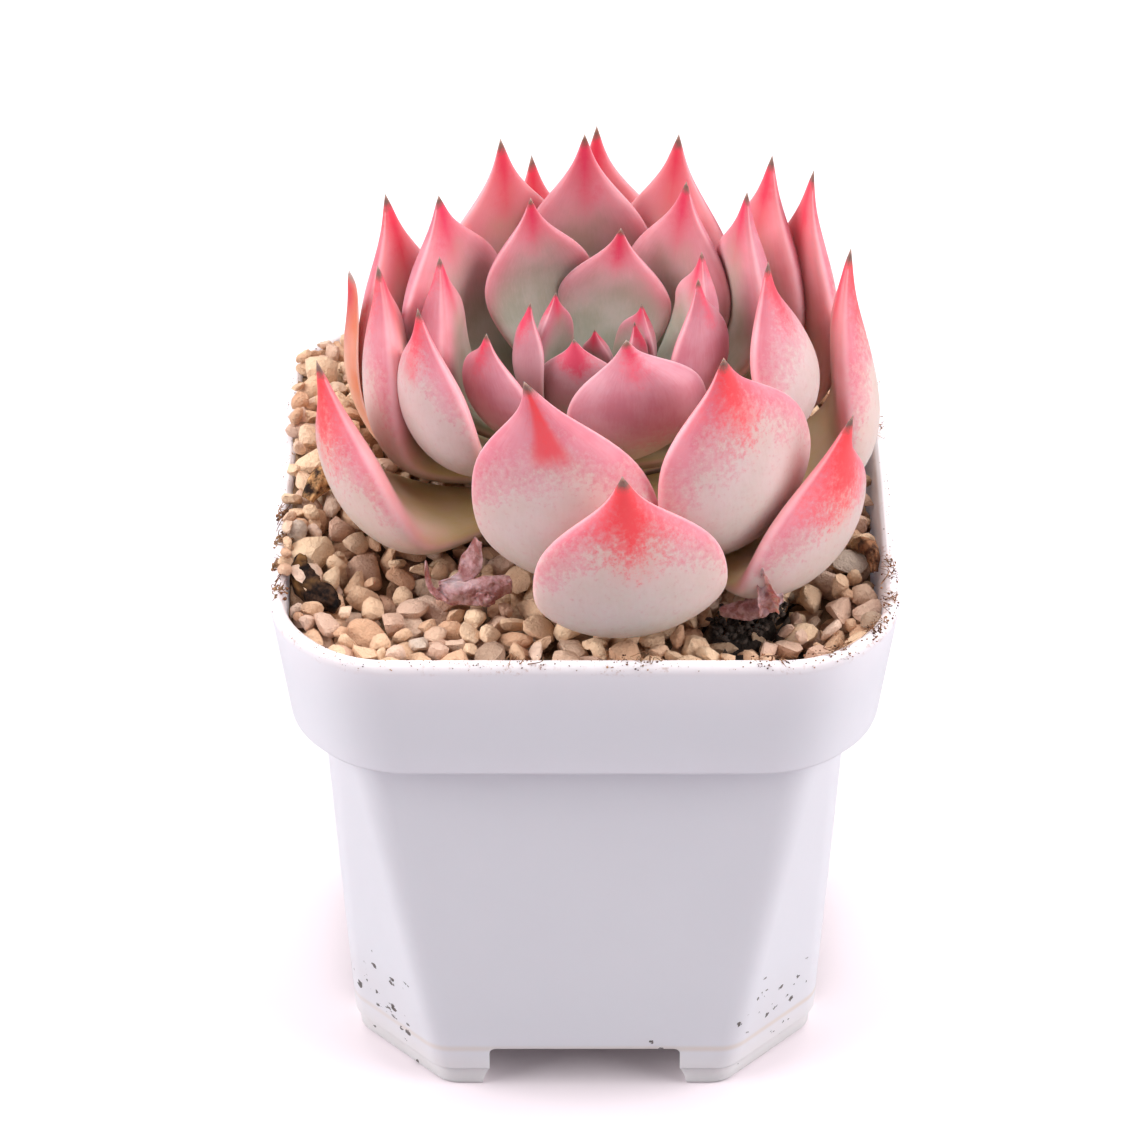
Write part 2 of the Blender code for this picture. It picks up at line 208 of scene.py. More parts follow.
def makeSpeckGroup():
    # dirt specks gathered around a place, and a thin film of dust near them
    tree, given, out = newGroup("dirtSpecks", (
        ("Place", "NodeSocketVector", (0, 0, 0)), ("Reach", "NodeSocketFloat", 0.01),
        ("Amount", "NodeSocketFloat", 0.5), ("Size", "NodeSocketFloat", 0.5),
    ), (("Mask", "NodeSocketFloat"), ("Film", "NodeSocketFloat")))
    place = addNode(tree, "ShaderNodeTexCoord").outputs["Object"]
    far = addNode(tree, "ShaderNodeVectorMath", {0: place, 1: given["Place"]},
                  operation="DISTANCE").outputs["Value"]
    near = minus(tree, 1.0, fade(tree, calc(tree, "DIVIDE", far, given["Reach"]), 0.2, 1.0))
    jitter = addNode(tree, "ShaderNodeTexNoise", {"Vector": place, "Scale": dirtLook["jitter"]})
    shaken = addNode(tree, "ShaderNodeVectorMath", {
        0: jitter.outputs["Color"], 1: [dirtLook["shake"]] * 3, 2: place}, operation="MULTIPLY_ADD")
    cells = addNode(tree, "ShaderNodeTexVoronoi", {"Vector": shaken.outputs[0], "Scale": dirtLook["cells"]},
                    feature="F1").outputs
    drawn = addNode(tree, "ShaderNodeSeparateColor", {0: cells["Color"]}).outputs  # random values of a cell
    gathered = times(tree, near, fade(tree, grain(tree, dirtLook["patches"]), 0.40, 0.58))
    chosen = calc(tree, "LESS_THAN", drawn[0], times(tree, gathered, given["Amount"]))
    specks = calc(tree, "LESS_THAN", cells["Distance"], times(tree, given["Size"], drawn[1]))
    tree.links.new(times(tree, specks, chosen), out["Mask"])
    tree.links.new(times(tree, grain(tree, dirtLook["film"], 4.0), near), out["Film"])
    return tree


speckGroup = makeSpeckGroup()


# pot

potShape = {
    "rimHeight": 16.6 * mm, "rimDraft": 1.9 * mm, "rimCut": 8.2 * mm, "rimBend": 13 * mm,
    "overhang": 3.8 * mm, "wall": 1.6 * mm, "shoulderCut": 4.3 * mm, "shoulderBend": 5.6 * mm,
    "bodyDraft": 2.0 * mm, "footCut": 10.8 * mm, "footBend": 4.0 * mm,
    "footStep": 2.6 * mm, "footStepIn": 0.5 * mm, "footStepRise": 0.4 * mm,
    "notchHeight": 6.1 * mm, "notchWidth": 22.4 * mm, "notchFlare": 0.8 * mm, "notchSoft": 0.8 * mm,
    "drainRadius": 4 * mm, "sideDrainRadius": 2.5 * mm, "sideDrainOffset": 13 * mm,
    "lipDrop": 1.3 * mm, "innerDrop": 0.4 * mm, "lipRound": 0.62, "innerRound": 0.3,  # rounds in wall widths
    "softEdge": 0.45 * mm, "ledgeRise": 2.6 * mm, "wallTop": 0.5 * mm,
    "bendSteps": 8, "flatSteps": 6, "bodyRows": 8, "rimRows": 5, "innerRows": 4, "sharpAngle": 50,
}
insetCut = 2 - math.sqrt(2)
rimHalf = potHigh.x + 0.05 * mm
shoulderHeight = lipHeight - potShape["rimHeight"]


def squareOutline(half, cut, bend, z):
    steps, flats = potShape["bendSteps"], potShape["flatSteps"]
    flatEnd = half - cut - bend * math.tan(math.pi / 8)
    corner = []
    for step in range(steps + 1):
        turn = math.pi / 4 * step / steps
        corner.append((half - bend + bend * math.cos(turn), flatEnd + bend * math.sin(turn)))
    corner += [(y, x) for x, y in reversed(corner)]
    corner += [(mix(flatEnd, -flatEnd, step / flats), half) for step in range(1, flats)]
    quarters = ((1, 0), (0, 1), (-1, 0), (0, -1))
    return [Vector((x * c - y * s, x * s + y * c, z)) for c, s in quarters for x, y in corner]


def bodyOutline(z, inset=0.0):
    share = z / shoulderHeight
    shoulderHalf = rimHalf - potShape["rimDraft"] - potShape["overhang"]
    return squareOutline(shoulderHalf - potShape["bodyDraft"] * (1 - share) - inset,
                         mix(potShape["footCut"], potShape["shoulderCut"], share) - insetCut * inset,
                         mix(potShape["footBend"], potShape["shoulderBend"], share) - inset, z)


def rimOutline(z, inset=0.0):
    half = rimHalf - potShape["rimDraft"] * (lipHeight - z) / potShape["rimHeight"]
    return squareOutline(half - inset, potShape["rimCut"] - insetCut * inset, potShape["rimBend"] - inset, z)


def rows(outline, start, end, count, inset=0.0):
    # outlines spaced evenly up or down a wall, without the first
    return [outline(mix(start, end, row / count), inset) for row in range(1, count + 1)]


def potRings(shape):
    # the pot's outside from the feet up, over the lip and down its inside
    soft, wall = shape["softEdge"], shape["wall"]
    step, stepIn = shape["footStep"], shape["footStepIn"]
    bodyStart, rimStart = step + shape["footStepRise"], shoulderHeight + 1.1 * soft
    lipStart, innerStart = lipHeight - shape["lipDrop"], lipHeight - shape["innerDrop"]
    rings = [bodyOutline(0, stepIn + soft), bodyOutline(0.15 * soft, stepIn + 0.4 * soft),
             bodyOutline(0.6 * soft, stepIn), bodyOutline(step - 0.1 * mm, stepIn),
             bodyOutline(step, stepIn - 0.1 * mm), bodyOutline(step + 0.15 * mm, 0.1 * mm),
             bodyOutline(bodyStart)]
    rings += rows(bodyOutline, bodyStart, shoulderHeight, shape["bodyRows"])
    rings += [rimOutline(shoulderHeight, soft), rimOutline(shoulderHeight + 0.15 * soft, 0.4 * soft),
              rimOutline(shoulderHeight + 0.6 * soft, 0.08 * soft), rimOutline(rimStart)]
    rings += rows(rimOutline, rimStart, lipStart, shape["rimRows"])
    for turn in (20, 40, 60, 78, 90):  # the lip's round outer edge
        angle = math.radians(turn)
        rings.append(rimOutline(lipHeight - shape["lipDrop"] * (1 - math.sin(angle)),
                                shape["lipRound"] * wall * (1 - math.cos(angle))))
    for turn in (90, 60, 30, 0):  # and its inner edge
        angle = math.radians(turn)
        rings.append(rimOutline(lipHeight - shape["innerDrop"] * (1 - math.sin(angle)),
                                wall - shape["innerRound"] * wall * math.cos(math.pi / 2 - angle)))
    rings += rows(rimOutline, innerStart, shoulderHeight + shape["ledgeRise"], shape["innerRows"], wall)
    return rings + [bodyOutline(shoulderHeight + shape["wallTop"], wall),
                    bodyOutline(shape["notchHeight"] + wall, wall)]


def loft(rings):
    # one face drawn out ring by ring, closed at both ends
    bm = bmesh.new()
    front = bm.faces.new([bm.verts.new(point) for point in rings[0]])
    for ring in rings[1:]:
        front = bmesh.ops.extrude_discrete_faces(bm, faces=[front])["faces"][0]
        for vert, point in zip(front.verts, ring):
            vert.co = point
    bmesh.ops.contextual_create(bm, geom=[edge for edge in bm.edges if edge.is_boundary])
    bmesh.ops.recalc_face_normals(bm, faces=bm.faces)
    return bm


def cutAway(piece, bm):
    cutter = addObject("cutter", meshFrom("cutter", bm))
    boolean = piece.modifiers.new("cut", "BOOLEAN")
    boolean.operation, boolean.solver, boolean.object = "DIFFERENCE", "EXACT", cutter
    bakeModifiers(piece)
    bpy.data.objects.remove(cutter)


def cutNotches(piece, shape):
    # a channel between the feet, along each way
    half, flare, low = shape["notchWidth"] / 2, shape["notchFlare"], shape["footStep"]
    bend, top, reach = shape["notchSoft"], shape["notchHeight"], 2 * rimHalf
    right = [(half + flare, -5 * mm), (half + flare, 0.2 * low), (half + 0.6 * flare, 0.6 * low), (half, low)]
    right += [(half - bend * (1 - math.cos(turn)), top - bend * (1 - math.sin(turn)))
              for turn in (0, 0.4, 0.8, 1.2, math.pi / 2)]
    profile = right + [(-y, z) for y, z in reversed(right)]
    for alongX in (True, False):
        bm = bmesh.new()
        face = bm.faces.new([bm.verts.new((-reach, y, z) if alongX else (y, -reach, z)) for y, z in profile])
        drawOut(bm, [face], (2 * reach, 0, 0) if alongX else (0, 2 * reach, 0))
        cutAway(piece, bm)


def cutDrains(piece, shape):
    offset, small = shape["sideDrainOffset"], shape["sideDrainRadius"]
    sides = [(x * offset, y * offset, small) for x, y in ((1, 0), (0, 1), (-1, 0), (0, -1))]
    for x, y, radius in [(0, 0, shape["drainRadius"])] + sides:
        bm = bmesh.new()
        bmesh.ops.create_cone(bm, cap_ends=True, segments=32, radius1=radius, radius2=radius,
                              depth=4 * shape["wall"])
        bmesh.ops.translate(bm, verts=bm.verts, vec=(x, y, shape["notchHeight"] + shape["wall"] / 2))
        cutAway(piece, bm)


def makePot():
    piece = addPiece("potShell", loft(potRings(potShape)), makePotMaterial())
    cutNotches(piece, potShape)
    cutDrains(piece, potShape)
    piece.data.shade_smooth()
    piece.data.set_sharp_from_angle(angle=math.radians(potShape["sharpAngle"]))
    piece.modifiers.new("evenShading", "WEIGHTED_NORMAL").keep_sharp = True
    bakeModifiers(piece)
    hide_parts("pot")
    print("pot", len(piece.data.polygons))


potDirt = (  # place, reach, share of specks kept, speck size
    ((-26.5 * mm, -22 * mm, 7 * mm), 13 * mm, 0.75, 0.52),
    ((-24 * mm, -27 * mm, 3 * mm), 10 * mm, 0.60, 0.55),
    ((7.5 * mm, -29.5 * mm, 4 * mm), 6 * mm, 0.50, 0.60),
    ((24 * mm, -25 * mm, 7 * mm), 11 * mm, 0.50, 0.44),
    ((26 * mm, 22 * mm, 5 * mm), 14 * mm, 0.18, 0.45),
    ((-30 * mm, 6 * mm, 3 * mm), 14 * mm, 0.14, 0.45),
    ((0, 30 * mm, 4 * mm), 16 * mm, 0.10, 0.40),
)
potLook = {
    "plastic": ((0.83, 0.81, 0.86), (0.87, 0.85, 0.895)), "dirt": ((0.05, 0.045, 0.045), (0.24, 0.20, 0.18)),
    # strongest share and colour of each layer
    # lip: a painted warm glow, the gravel's light reflected into the top of the rim and shining through it
    "film": (0.22, (0.72, 0.58, 0.50)), "lip": (0.16, (0.82, 0.55, 0.46)), "foot": (0.75, (0.93, 0.87, 0.84)),
    "ochre": (0.7, (0.78, 0.60, 0.44)), "dust": (0.55, (0.45, 0.27, 0.20)),
    # where they fade: below the lip, above the floor (the foot's painted bounce light from the floor), away
    # from the notch's top
    "lipFade": (1.9 * mm, 0.5 * mm), "footFade": (0.5 * mm, 8 * mm), "ochreFade": (0.05 * mm, 0.7 * mm),
    "gloss": (0.26, 0.16), "waves": (260.0, 0.12, 0.4 * mm),  # roughness and its clouds; scale and depth
}


def makePotMaterial():
    look = potLook
    material, tree, shader = newMaterial("whitePlastic", 0.32, Subsurface_Weight=0.35, Subsurface_Scale=0.004)
    shader.inputs["Subsurface Radius"].default_value = (1.0, 0.85, 0.85)
    mask, film = 0.0, 0.0
    for spot in potDirt:
        specks = placeGroup(tree, speckGroup, dict(zip(("Place", "Reach", "Amount", "Size"), spot)))
        mask = calc(tree, "MAXIMUM", specks["Mask"], mask)
        film = calc(tree, "MAXIMUM", specks["Film"], film)
    cloud = grain(tree, 45.0, 3.0)
    color = layer(tree, tint(tree, cloud, *look["plastic"]), film, *look["film"])
    place = addNode(tree, "ShaderNodeTexCoord").outputs["Object"]
    height = addNode(tree, "ShaderNodeSeparateXYZ", {0: place}).outputs["Z"]
    nearLip = fade(tree, height, *(lipHeight - drop for drop in look["lipFade"]))
    patches = times(tree, nearLip, fade(tree, grain(tree, 140.0, 2.0), 0.42, 0.62))
    dust = times(tree, patches, fade(tree, grain(tree, 1100.0, 4.0, rough=0.75), 0.54, 0.66))
    # painted warm glow at the top of the rim
    color = layer(tree, color, nearLip, *look["lip"])
    # painted bounce light: the foot made lighter and warmer where the floor's light would fall on it
    footBounceLight = minus(tree, 1.0, fade(tree, height, *look["footFade"]))
    color = layer(tree, color, footBounceLight, *look["foot"])
    fromNotch = calc(tree, "ABSOLUTE", minus(tree, height, potShape["notchHeight"]))
    ochre = minus(tree, 1.0, fade(tree, fromNotch, *look["ochreFade"]))
    color = layer(tree, color, times(tree, ochre, cloud), *look["ochre"])
    color = layer(tree, color, dust, *look["dust"])
    color = tint(tree, mask, color, tint(tree, grain(tree, 2000.0), *look["dirt"]))
    smooth, cloudy = look["gloss"]
    roughness = plus(tree, times(tree, grain(tree, 900.0, 3.0), cloudy), smooth)
    tree.links.new(roughness, shader.inputs["Roughness"])
    scale, strength, distance = look["waves"]
    dress(tree, shader, color, grain(tree, scale, 3.0), strength, distance)
    return material


makePot()


# leaves

ringCount = 10
leafPlaces = (0.0, 0.12, 0.25, 0.39, 0.53, 0.66, 0.77, 0.85, 0.915, 0.965, 1.0)  # base to tip
toneNames = ("blush", "redStart", "stripe", "stripeStart", "warmth", "green")
layerNames = ("along", "across", "face", "seed") + toneNames
whorlTones = {  # blush start, red start, stripe, stripe start, warmth, green of the inner face
    "old_leaf": (0.30, 0.85, 0.0, 0.8, 1.0, 0.0),
    "lowest_leaf": (0.76, 0.84, 0.3, 0.80, 0.35, 0.25),
    "outer_leaf": (0.76, 0.86, 0.5, 0.80, 0.30, 0.45),
    "middle_leaf": (0.66, 0.86, 0.5, 0.80, 0.15, 0.75),
    "inner_leaf": (0.42, 0.86, 0.6, 0.82, 0.10, 0.90),
    "heart_leaf": (0.35, 0.74, 0.5, 0.70, 0.00, 0.80),
}
leafTones = {  # leaves that differ from their whorl
    "lowest_leaf_1": (0.80, 0.80, 0.15, 0.72, 0.15, 0.3),
    "lowest_leaf_2": (0.78, 0.78, 0.3, 0.74, 0.20, 0.3),
    "lowest_leaf_5": (0.80, 0.80, 0.2, 0.80, 0.40, 0.2),
    "lowest_leaf_7": (0.78, 0.82, 0.4, 0.84, 0.30, 0.2),
    "outer_leaf_1": (0.77, 0.82, 0.5, 0.80, 0.15, 0.4),
    "outer_leaf_2": (0.74, 0.93, 1.0, 0.80, 0.10, 0.4),
    "middle_leaf_1": (0.72, 0.83, 0.5, 0.80, 0.20, 0.6),
    "middle_leaf_2": (0.80, 0.84, 0.6, 0.78, 0.10, 0.6),
}
plump = {  # how full the inner side is, by whorl, and the shape of the filling
    "old_leaf": 0.3, "lowest_leaf": 0.85, "outer_leaf": 0.75, "middle_leaf": 0.6, "inner_leaf": 0.4,
    "heart_leaf": 0.3, "margin": 0.8 * mm, "dome": 0.3, "tipFade": 0.2, "passes": 2, "levels": 2,
}


def ringsFromTip(bm):
    # the tip, then every ring of a leaf copy down to its base
    bm.verts.ensure_lookup_table()
    tip = max(bm.verts, key=lambda vert: vert.co.z)
    rings, seen = [[tip]], {tip}
    for _ in range(ringCount):
        ring = []
        for vert in rings[-1]:
            for edge in vert.link_edges:
                other = edge.other_vert(vert)
                if other not in seen:
                    seen.add(other)
                    ring.append(other)
        rings.append(ring)
    return rings


def inOrder(ring):
    # a ring's vertices in turn around the leaf
    members, ordered = set(ring), [ring[0]]
    while len(ordered) < len(ring):
        for edge in ordered[-1].link_edges:
            other = edge.other_vert(ordered[-1])
            aside = any(vert not in members for face in edge.link_faces for vert in face.verts)
            if other in members and other not in ordered and aside:  # not an edge across the base
                ordered.append(other)
                break
    return ordered


def matched(ring, above):
    # the same ring, started and turned so that each vertex stands under its partner
    count = len(ring)
    best = None
    for way in (1, -1):
        for shift in range(count):
            turned = [ring[(shift + way * step) % count] for step in range(count)]
            joined = sum(any(edge.other_vert(a) is b for edge in a.link_edges) for a, b in zip(turned, above))
            cost = (-joined, sum((a.co - b.co).length_squared for a, b in zip(turned, above)))
            if best is None or cost < best[0]:
                best = (cost, turned)
    return best[1]


def makeQuads(bm, tip, ordered):
    # drops the edges that cut the leaf's quads in two
    keep = set()
    for upper, lower in zip(ordered, ordered[1:]):
        keep.update(frozenset(pair) for pair in zip(upper, lower))
    for ring in ordered:
        keep.update(frozenset(pair) for pair in zip(ring, ring[1:] + ring[:1]))
    keep.update(frozenset((tip, vert)) for vert in ordered[0])
    extra = [edge for edge in bm.edges if frozenset(edge.verts) not in keep]
    bmesh.ops.dissolve_edges(bm, edges=extra, use_verts=False)


def findMargin(ordered):
    # where a ring starts at a margin, the two vertices furthest apart, and which way its inner side lies
    widest = max(ordered, key=lambda ring: max((a.co - b.co).length for a in ring for b in ring))
    half = len(widest) // 2
    start = max(range(half), key=lambda step: (widest[step].co - widest[step + half].co).length)
    middle = sum((vert.co for vert in widest), Vector()) / len(widest)
    sideways = widest[(start + half // 2) % len(widest)].co - middle
    inwards = Vector((-middle.x, -middle.y, 0.4 * Vector((middle.x, middle.y)).length))
    return start, 1 if sideways.dot(inwards) > 0 else -1


def fillCup(ring, start, innerSign, share):
    # raises the hollow inner side of a section towards a full, slightly domed one
    count = len(ring)
    places = [ring[(start + step) % count].co.copy() for step in range(count)]
    quarter = count // 4 * (1 if innerSign > 0 else 3)
    inwards = (places[quarter] - places[-quarter]).normalized()
    for step in range(1, count):
        turn = 2 * math.pi * step / count
        if innerSign * math.sin(turn) > 0.01:
            chord = places[0].lerp(places[count // 2], (1 - math.cos(turn)) / 2)
            domed = chord - (places[-step] - chord) * plump["dome"] + inwards * plump["margin"]
            ring[(start + step) % count].co = places[step].lerp(domed, share)


def swell(rest):
    # moves vertices out by as much as the smoothing draws them in
    moved = []
    for vert in rest:
        count = len(vert.link_edges)
        around = sum((face.calc_center_median() for face in vert.link_faces), Vector())
        around += sum(((edge.verts[0].co + edge.verts[1].co) / 2 for edge in vert.link_edges), Vector())
        settled = vert.co * (count - 3) / (count + 5) + around * 4 / (count * (count + 5))
        moved.append(rest[vert] - settled)
    for vert, move in zip(rest, moved):
        vert.co += move


def shapeLeaf(node, tones, seed):
    bm = mergedCopy(node)
    layers = {name: bm.verts.layers.float.new(name) for name in layerNames}
    pointed = bm.verts.layers.float.new("crease_vert")
    rings = ringsFromTip(bm)
    tip, ordered = rings[0][0], [inOrder(rings[1])]
    for ring in rings[2:]:
        ordered.append(matched(inOrder(ring), ordered[-1]))
    makeQuads(bm, tip, ordered)
    start, innerSign = findMargin(ordered)
    for row, ring in enumerate(ordered):
        for step, vert in enumerate(ring):
            turn = 2 * math.pi * (step - start) / len(ring)
            vert[layers["along"]] = leafPlaces[ringCount - 1 - row]
            vert[layers["across"]] = math.cos(turn)
            vert[layers["face"]] = 0.5 + 0.5 * innerSign * math.sin(turn)
    tip[layers["along"]], tip[layers["face"]], tip[pointed] = 1.0, 0.5, 1.0
    for name, value in zip(toneNames + ("seed",), tones + (seed,)):
        for vert in bm.verts:
            vert[layers[name]] = value
    filling = plump[node.rsplit("_", 1)[0]]
    for ring in ordered:
        share = filling * min(1.0, (1.0 - ring[0][layers["along"]]) / plump["tipFade"])
        fillCup(ring, start, innerSign, share)
    rest = {vert: vert.co.copy() for ring in ordered for vert in ring}
    for _ in range(plump["passes"]):
        swell(rest)
    return bm


leafColors = {  # each kind of leaf can change these
    # Base: the colour towards a leaf's foot, partly its own brownish green and partly painted shade
    "Cream": (0.70, 0.67, 0.58), "Base": (0.36, 0.29, 0.18), "Pink": (0.70, 0.165, 0.225),
    "Red": (0.86, 0.07, 0.08), "Inside": (0.35, 0.34, 0.28), "InsidePink": (0.78, 0.33, 0.36),
}
leafTints = {
    "freckles": (0.52, 0.24, 0.20), "youngRed": (0.66, 0.045, 0.12), "duskyShade": (0.37, 0.22, 0.27),
    "oldInside": (0.82, 0.53, 0.38), "foot": ((0.68, 0.61, 0.24), (0.26, 0.33, 0.25)),
    "rose": (0.52, 0.19, 0.24), "warm": (1.0, 0.78, 0.62), "margin": (0.98, 0.62, 0.66),
    "powder": (0.92, 0.84, 0.88), "point": ((0.04, 0.032, 0.032), (0.24, 0.19, 0.16)),
}
leafFades = {  # where each blend starts and ends
    "cream": (0.05, 0.56), "freckles": (0.56, 0.70), "softPink": (-0.40, 0.0), "speckled": (-0.035, 0.05),
    "deepPink": (0.02, 0.20), "red": (-0.12, 0.09), "keel": (0.13, 0.40), "stripe": (-0.035, 0.035),
    "youth": (0.35, 0.85), "foot": (0.12, 0.60), "inside": (0.52, 1.02), "insideTip": (0.70, 0.95),
    "face": (0.42, 0.62), "margin": (0.93, 0.995), "powder": (0.5, 0.9), "point": (0.960, 0.984),
}
leafShares = {  # the strongest each blend gets
    "freckles": 0.26, "softPink": 0.26, "speckled": 0.36, "deepPink": 0.42, "red": 0.92, "youngRed": 0.8,
    "duskyShade": 0.60, "foot": 0.75, "rose": 0.6, "insideTip": 0.6, "warm": 0.5, "margin": 0.3,
}
leafNoise = {"blotch": 0.26, "streak": 0.09, "fine": 0.38, "point": 0.03}  # how far each noise shifts a blend
leafBend = {"pink": 0.16, "red": 0.14, "inside": 0.34, "insideTip": 0.12}  # how a blend bends at the margins


def makeLeafGroup():
    colors = [(name, "NodeSocketColor", (*color, 1)) for name, color in leafColors.items()]
    tree, given, out = newGroup("leafBlush", colors + [("Bloom", "NodeSocketFloat", 0.13)], (
        ("Color", "NodeSocketColor"), ("Roughness", "NodeSocketFloat"), ("Height", "NodeSocketFloat")))
    tints, fades, shares, bend = leafTints, leafFades, leafShares, leafBend
    read = {name: readAttribute(tree, name) for name in layerNames}
    along, across = read["along"], read["across"]
    side, sideSquare = calc(tree, "ABSOLUTE", across), times(tree, across, across)
    blotch, fine = grain(tree, 250.0, 3.0), grain(tree, 1500.0, 4.0, rough=0.75)
    lines = addNode(tree, "ShaderNodeCombineXYZ", {
        "X": times(tree, across, 16.0), "Y": times(tree, along, 9.0), "Z": read["seed"]})
    streak = grain(tree, 1.6, 3.0, lines.outputs[0], 0.65)
    wander = plus(tree, sway(tree, blotch, leafNoise["blotch"]), sway(tree, streak, leafNoise["streak"]))
    ragged = plus(tree, wander, sway(tree, fine, leafNoise["fine"]))
    wandering = plus(tree, along, wander)

    def shareOf(name, value):
        return times(tree, fade(tree, value, *fades[name]), shares[name])

    # outer face: cream, darker towards the base (painted shade, partly the leaf's own brownish green tone),
    # then dusty pink, then red towards the tip
    cream = tint(tree, fade(tree, wandering, *fades["cream"]), given["Base"], given["Cream"])
    cream = tint(tree, shareOf("freckles", fine), cream, tints["freckles"])
    spread = plus(tree, plus(tree, along, times(tree, sideSquare, bend["pink"])), ragged)
    fromBlush = minus(tree, spread, read["blush"])
    soft, speckled, deep = (shareOf(name, fromBlush) for name in ("softPink", "speckled", "deepPink"))
    pinkShare = calc(tree, "ADD", plus(tree, soft, speckled), deep, clamp=True)
    outside = tint(tree, pinkShare, cream, given["Pink"])
    towardsTip = plus(tree, minus(tree, along, times(tree, side, bend["red"])), times(tree, ragged, 0.6))
    redShare = shareOf("red", minus(tree, towardsTip, read["redStart"]))
    keel = minus(tree, 1.0, fade(tree, plus(tree, side, times(tree, wander, 0.5)), *fades["keel"]))
    stripeEnd = minus(tree, plus(tree, along, times(tree, wander, 0.3)), read["stripeStart"])
    stripe = times(tree, times(tree, keel, read["stripe"]), fade(tree, stripeEnd, *fades["stripe"]))
    redness = calc(tree, "MAXIMUM", redShare, stripe)
    youth = fade(tree, read["green"], *fades["youth"])
    red = layer(tree, given["Red"], youth, shares["youngRed"], tints["youngRed"])
    outside = tint(tree, redness, outside, red)
    # painted shade: the inner and heart leaves darkened towards a dusky mauve, partly their own tone and
    # partly the shade deep in the rosette
    duskyShade = times(tree, read["green"], times(tree, minus(tree, 1.0, redShare), shares["duskyShade"]))
    outside = tint(tree, duskyShade, outside, tints["duskyShade"])

    # inner face: grey green, turning towards a foot colour near the base (on older leaves a yellow green,
    # partly their own pale base and partly painted light shining through), blushing towards the margins and
    # the tip
    reach = plus(tree, plus(tree, along, times(tree, sideSquare, bend["inside"])), wander)
    green = tint(tree, read["green"], tints["oldInside"], given["Inside"])
    low = minus(tree, 1.0, fade(tree, wandering, *fades["foot"]))
    green = layer(tree, green, low, shares["foot"], tint(tree, youth, *tints["foot"]))
    rose = layer(tree, given["InsidePink"], youth, shares["rose"], tints["rose"])
    inside = tint(tree, fade(tree, reach, *fades["inside"]), green, rose)
    nearTip = plus(tree, minus(tree, along, times(tree, side, bend["insideTip"])), times(tree, wander, 0.5))
    tipRed = tint(tree, shares["insideTip"], red, tints["youngRed"])
    inside = tint(tree, fade(tree, nearTip, *fades["insideTip"]), inside, tipRed)
    color = tint(tree, fade(tree, read["face"], *fades["face"]), outside, inside)
    warmer = tint(tree, 1.0, color, tints["warm"], blend_type="MULTIPLY")
    color = layer(tree, color, read["warmth"], shares["warm"], warmer)

    # thin pale margin (partly the leaf's own pale edge, partly a painted highlight along it), powdery bloom,
    # dry point
    color = tint(tree, shareOf("margin", side), color, tints["margin"])
    bloom = times(tree, given["Bloom"], minus(tree, 1.0, redness))
    cloudy = plus(tree, blotch, times(tree, streak, 0.4))
    powder = times(tree, bloom, fade(tree, cloudy, *fades["powder"]))
    color = tint(tree, powder, color, tints["powder"])
    point = fade(tree, plus(tree, along, sway(tree, fine, leafNoise["point"])), *fades["point"])
    color = tint(tree, point, color, tint(tree, fine, *tints["point"]))
    tree.links.new(color, out["Color"])
    tree.links.new(plus(tree, 0.42, times(tree, powder, 0.6)), out["Roughness"])
    tree.links.new(plus(tree, times(tree, blotch, 0.5), times(tree, fine, 0.12)), out["Height"])
    return tree


leafGroup = makeLeafGroup()


def makeLeafMaterial(name, values, glow):
    material, tree, shader = newMaterial(name, 0.5, Subsurface_Weight=glow, Subsurface_Scale=0.0035)
    shader.inputs["Subsurface Radius"].default_value = (1.0, 0.42, 0.34)
    shader.inputs["Specular IOR Level"].default_value = 0.25
    blush = placeGroup(tree, leafGroup, values)
    tree.links.new(blush["Roughness"], shader.inputs["Roughness"])
    dress(tree, shader, blush["Color"], blush["Height"], 0.25, 0.0006)
    return material


leafMaterials = {
    "leaf": makeLeafMaterial("fleshyLeaf", {}, 0.45),
    # the heart's colours are darker: partly the young leaves' own greener tone, partly painted shade deep in
    # the rosette
    "heart_leaf": makeLeafMaterial("heartLeaf", {
        "Cream": (0.50, 0.42, 0.34), "Base": (0.30, 0.33, 0.26), "Pink": (0.62, 0.26, 0.30),
        "Red": (0.62, 0.045, 0.08), "Inside": (0.26, 0.32, 0.26), "InsidePink": (0.55, 0.20, 0.25)}, 0.3),
    "old_leaf": makeLeafMaterial("orangeLeaf", {
        "Cream": (0.74, 0.36, 0.18), "Pink": (0.78, 0.25, 0.12), "Red": (0.30, 0.09, 0.05),
        "Inside": (0.66, 0.26, 0.12), "InsidePink": (0.70, 0.22, 0.11)}, 0.5),
}


def makeLeaves():
    names = sorted(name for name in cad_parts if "_leaf_" in name and not name.startswith("dry"))
    for number, name in enumerate(names):
        whorl = name.rsplit("_", 1)[0]
        tones = leafTones.get(name, whorlTones[whorl])
        slot = whorl if whorl in ("heart_leaf", "old_leaf") else "leaf"
        bm = shapeLeaf(name, tones, 3.7 * number)  # each leaf has streaks of its own
        piece = addPiece("plump_" + name, bm, leafMaterials[slot], levels=plump["levels"])
        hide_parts(name)
    print("leaves", len(names))


makeLeaves()


# stem and soil

earthLook = {
    "peat": ((0.012, 0.009, 0.008), (0.075, 0.050, 0.036)), "grit": ((0.20, 0.115, 0.06), (0.62, 0.40, 0.24))}
barkLook = ((0.16, 0.10, 0.06), (0.44, 0.38, 0.22))


def makeEarthMaterial():
    material, tree, shader = newMaterial("darkPeat", 0.95)
    clumps = grain(tree, 700.0, 5.0, rough=0.7)
    peat, grit = (tint(tree, clumps, *earthLook[name]) for name in ("peat", "grit"))
    dress(tree, shader, tint(tree, readAttribute(tree, "grit"), peat, grit), clumps, 0.9, 0.0012)
    return material


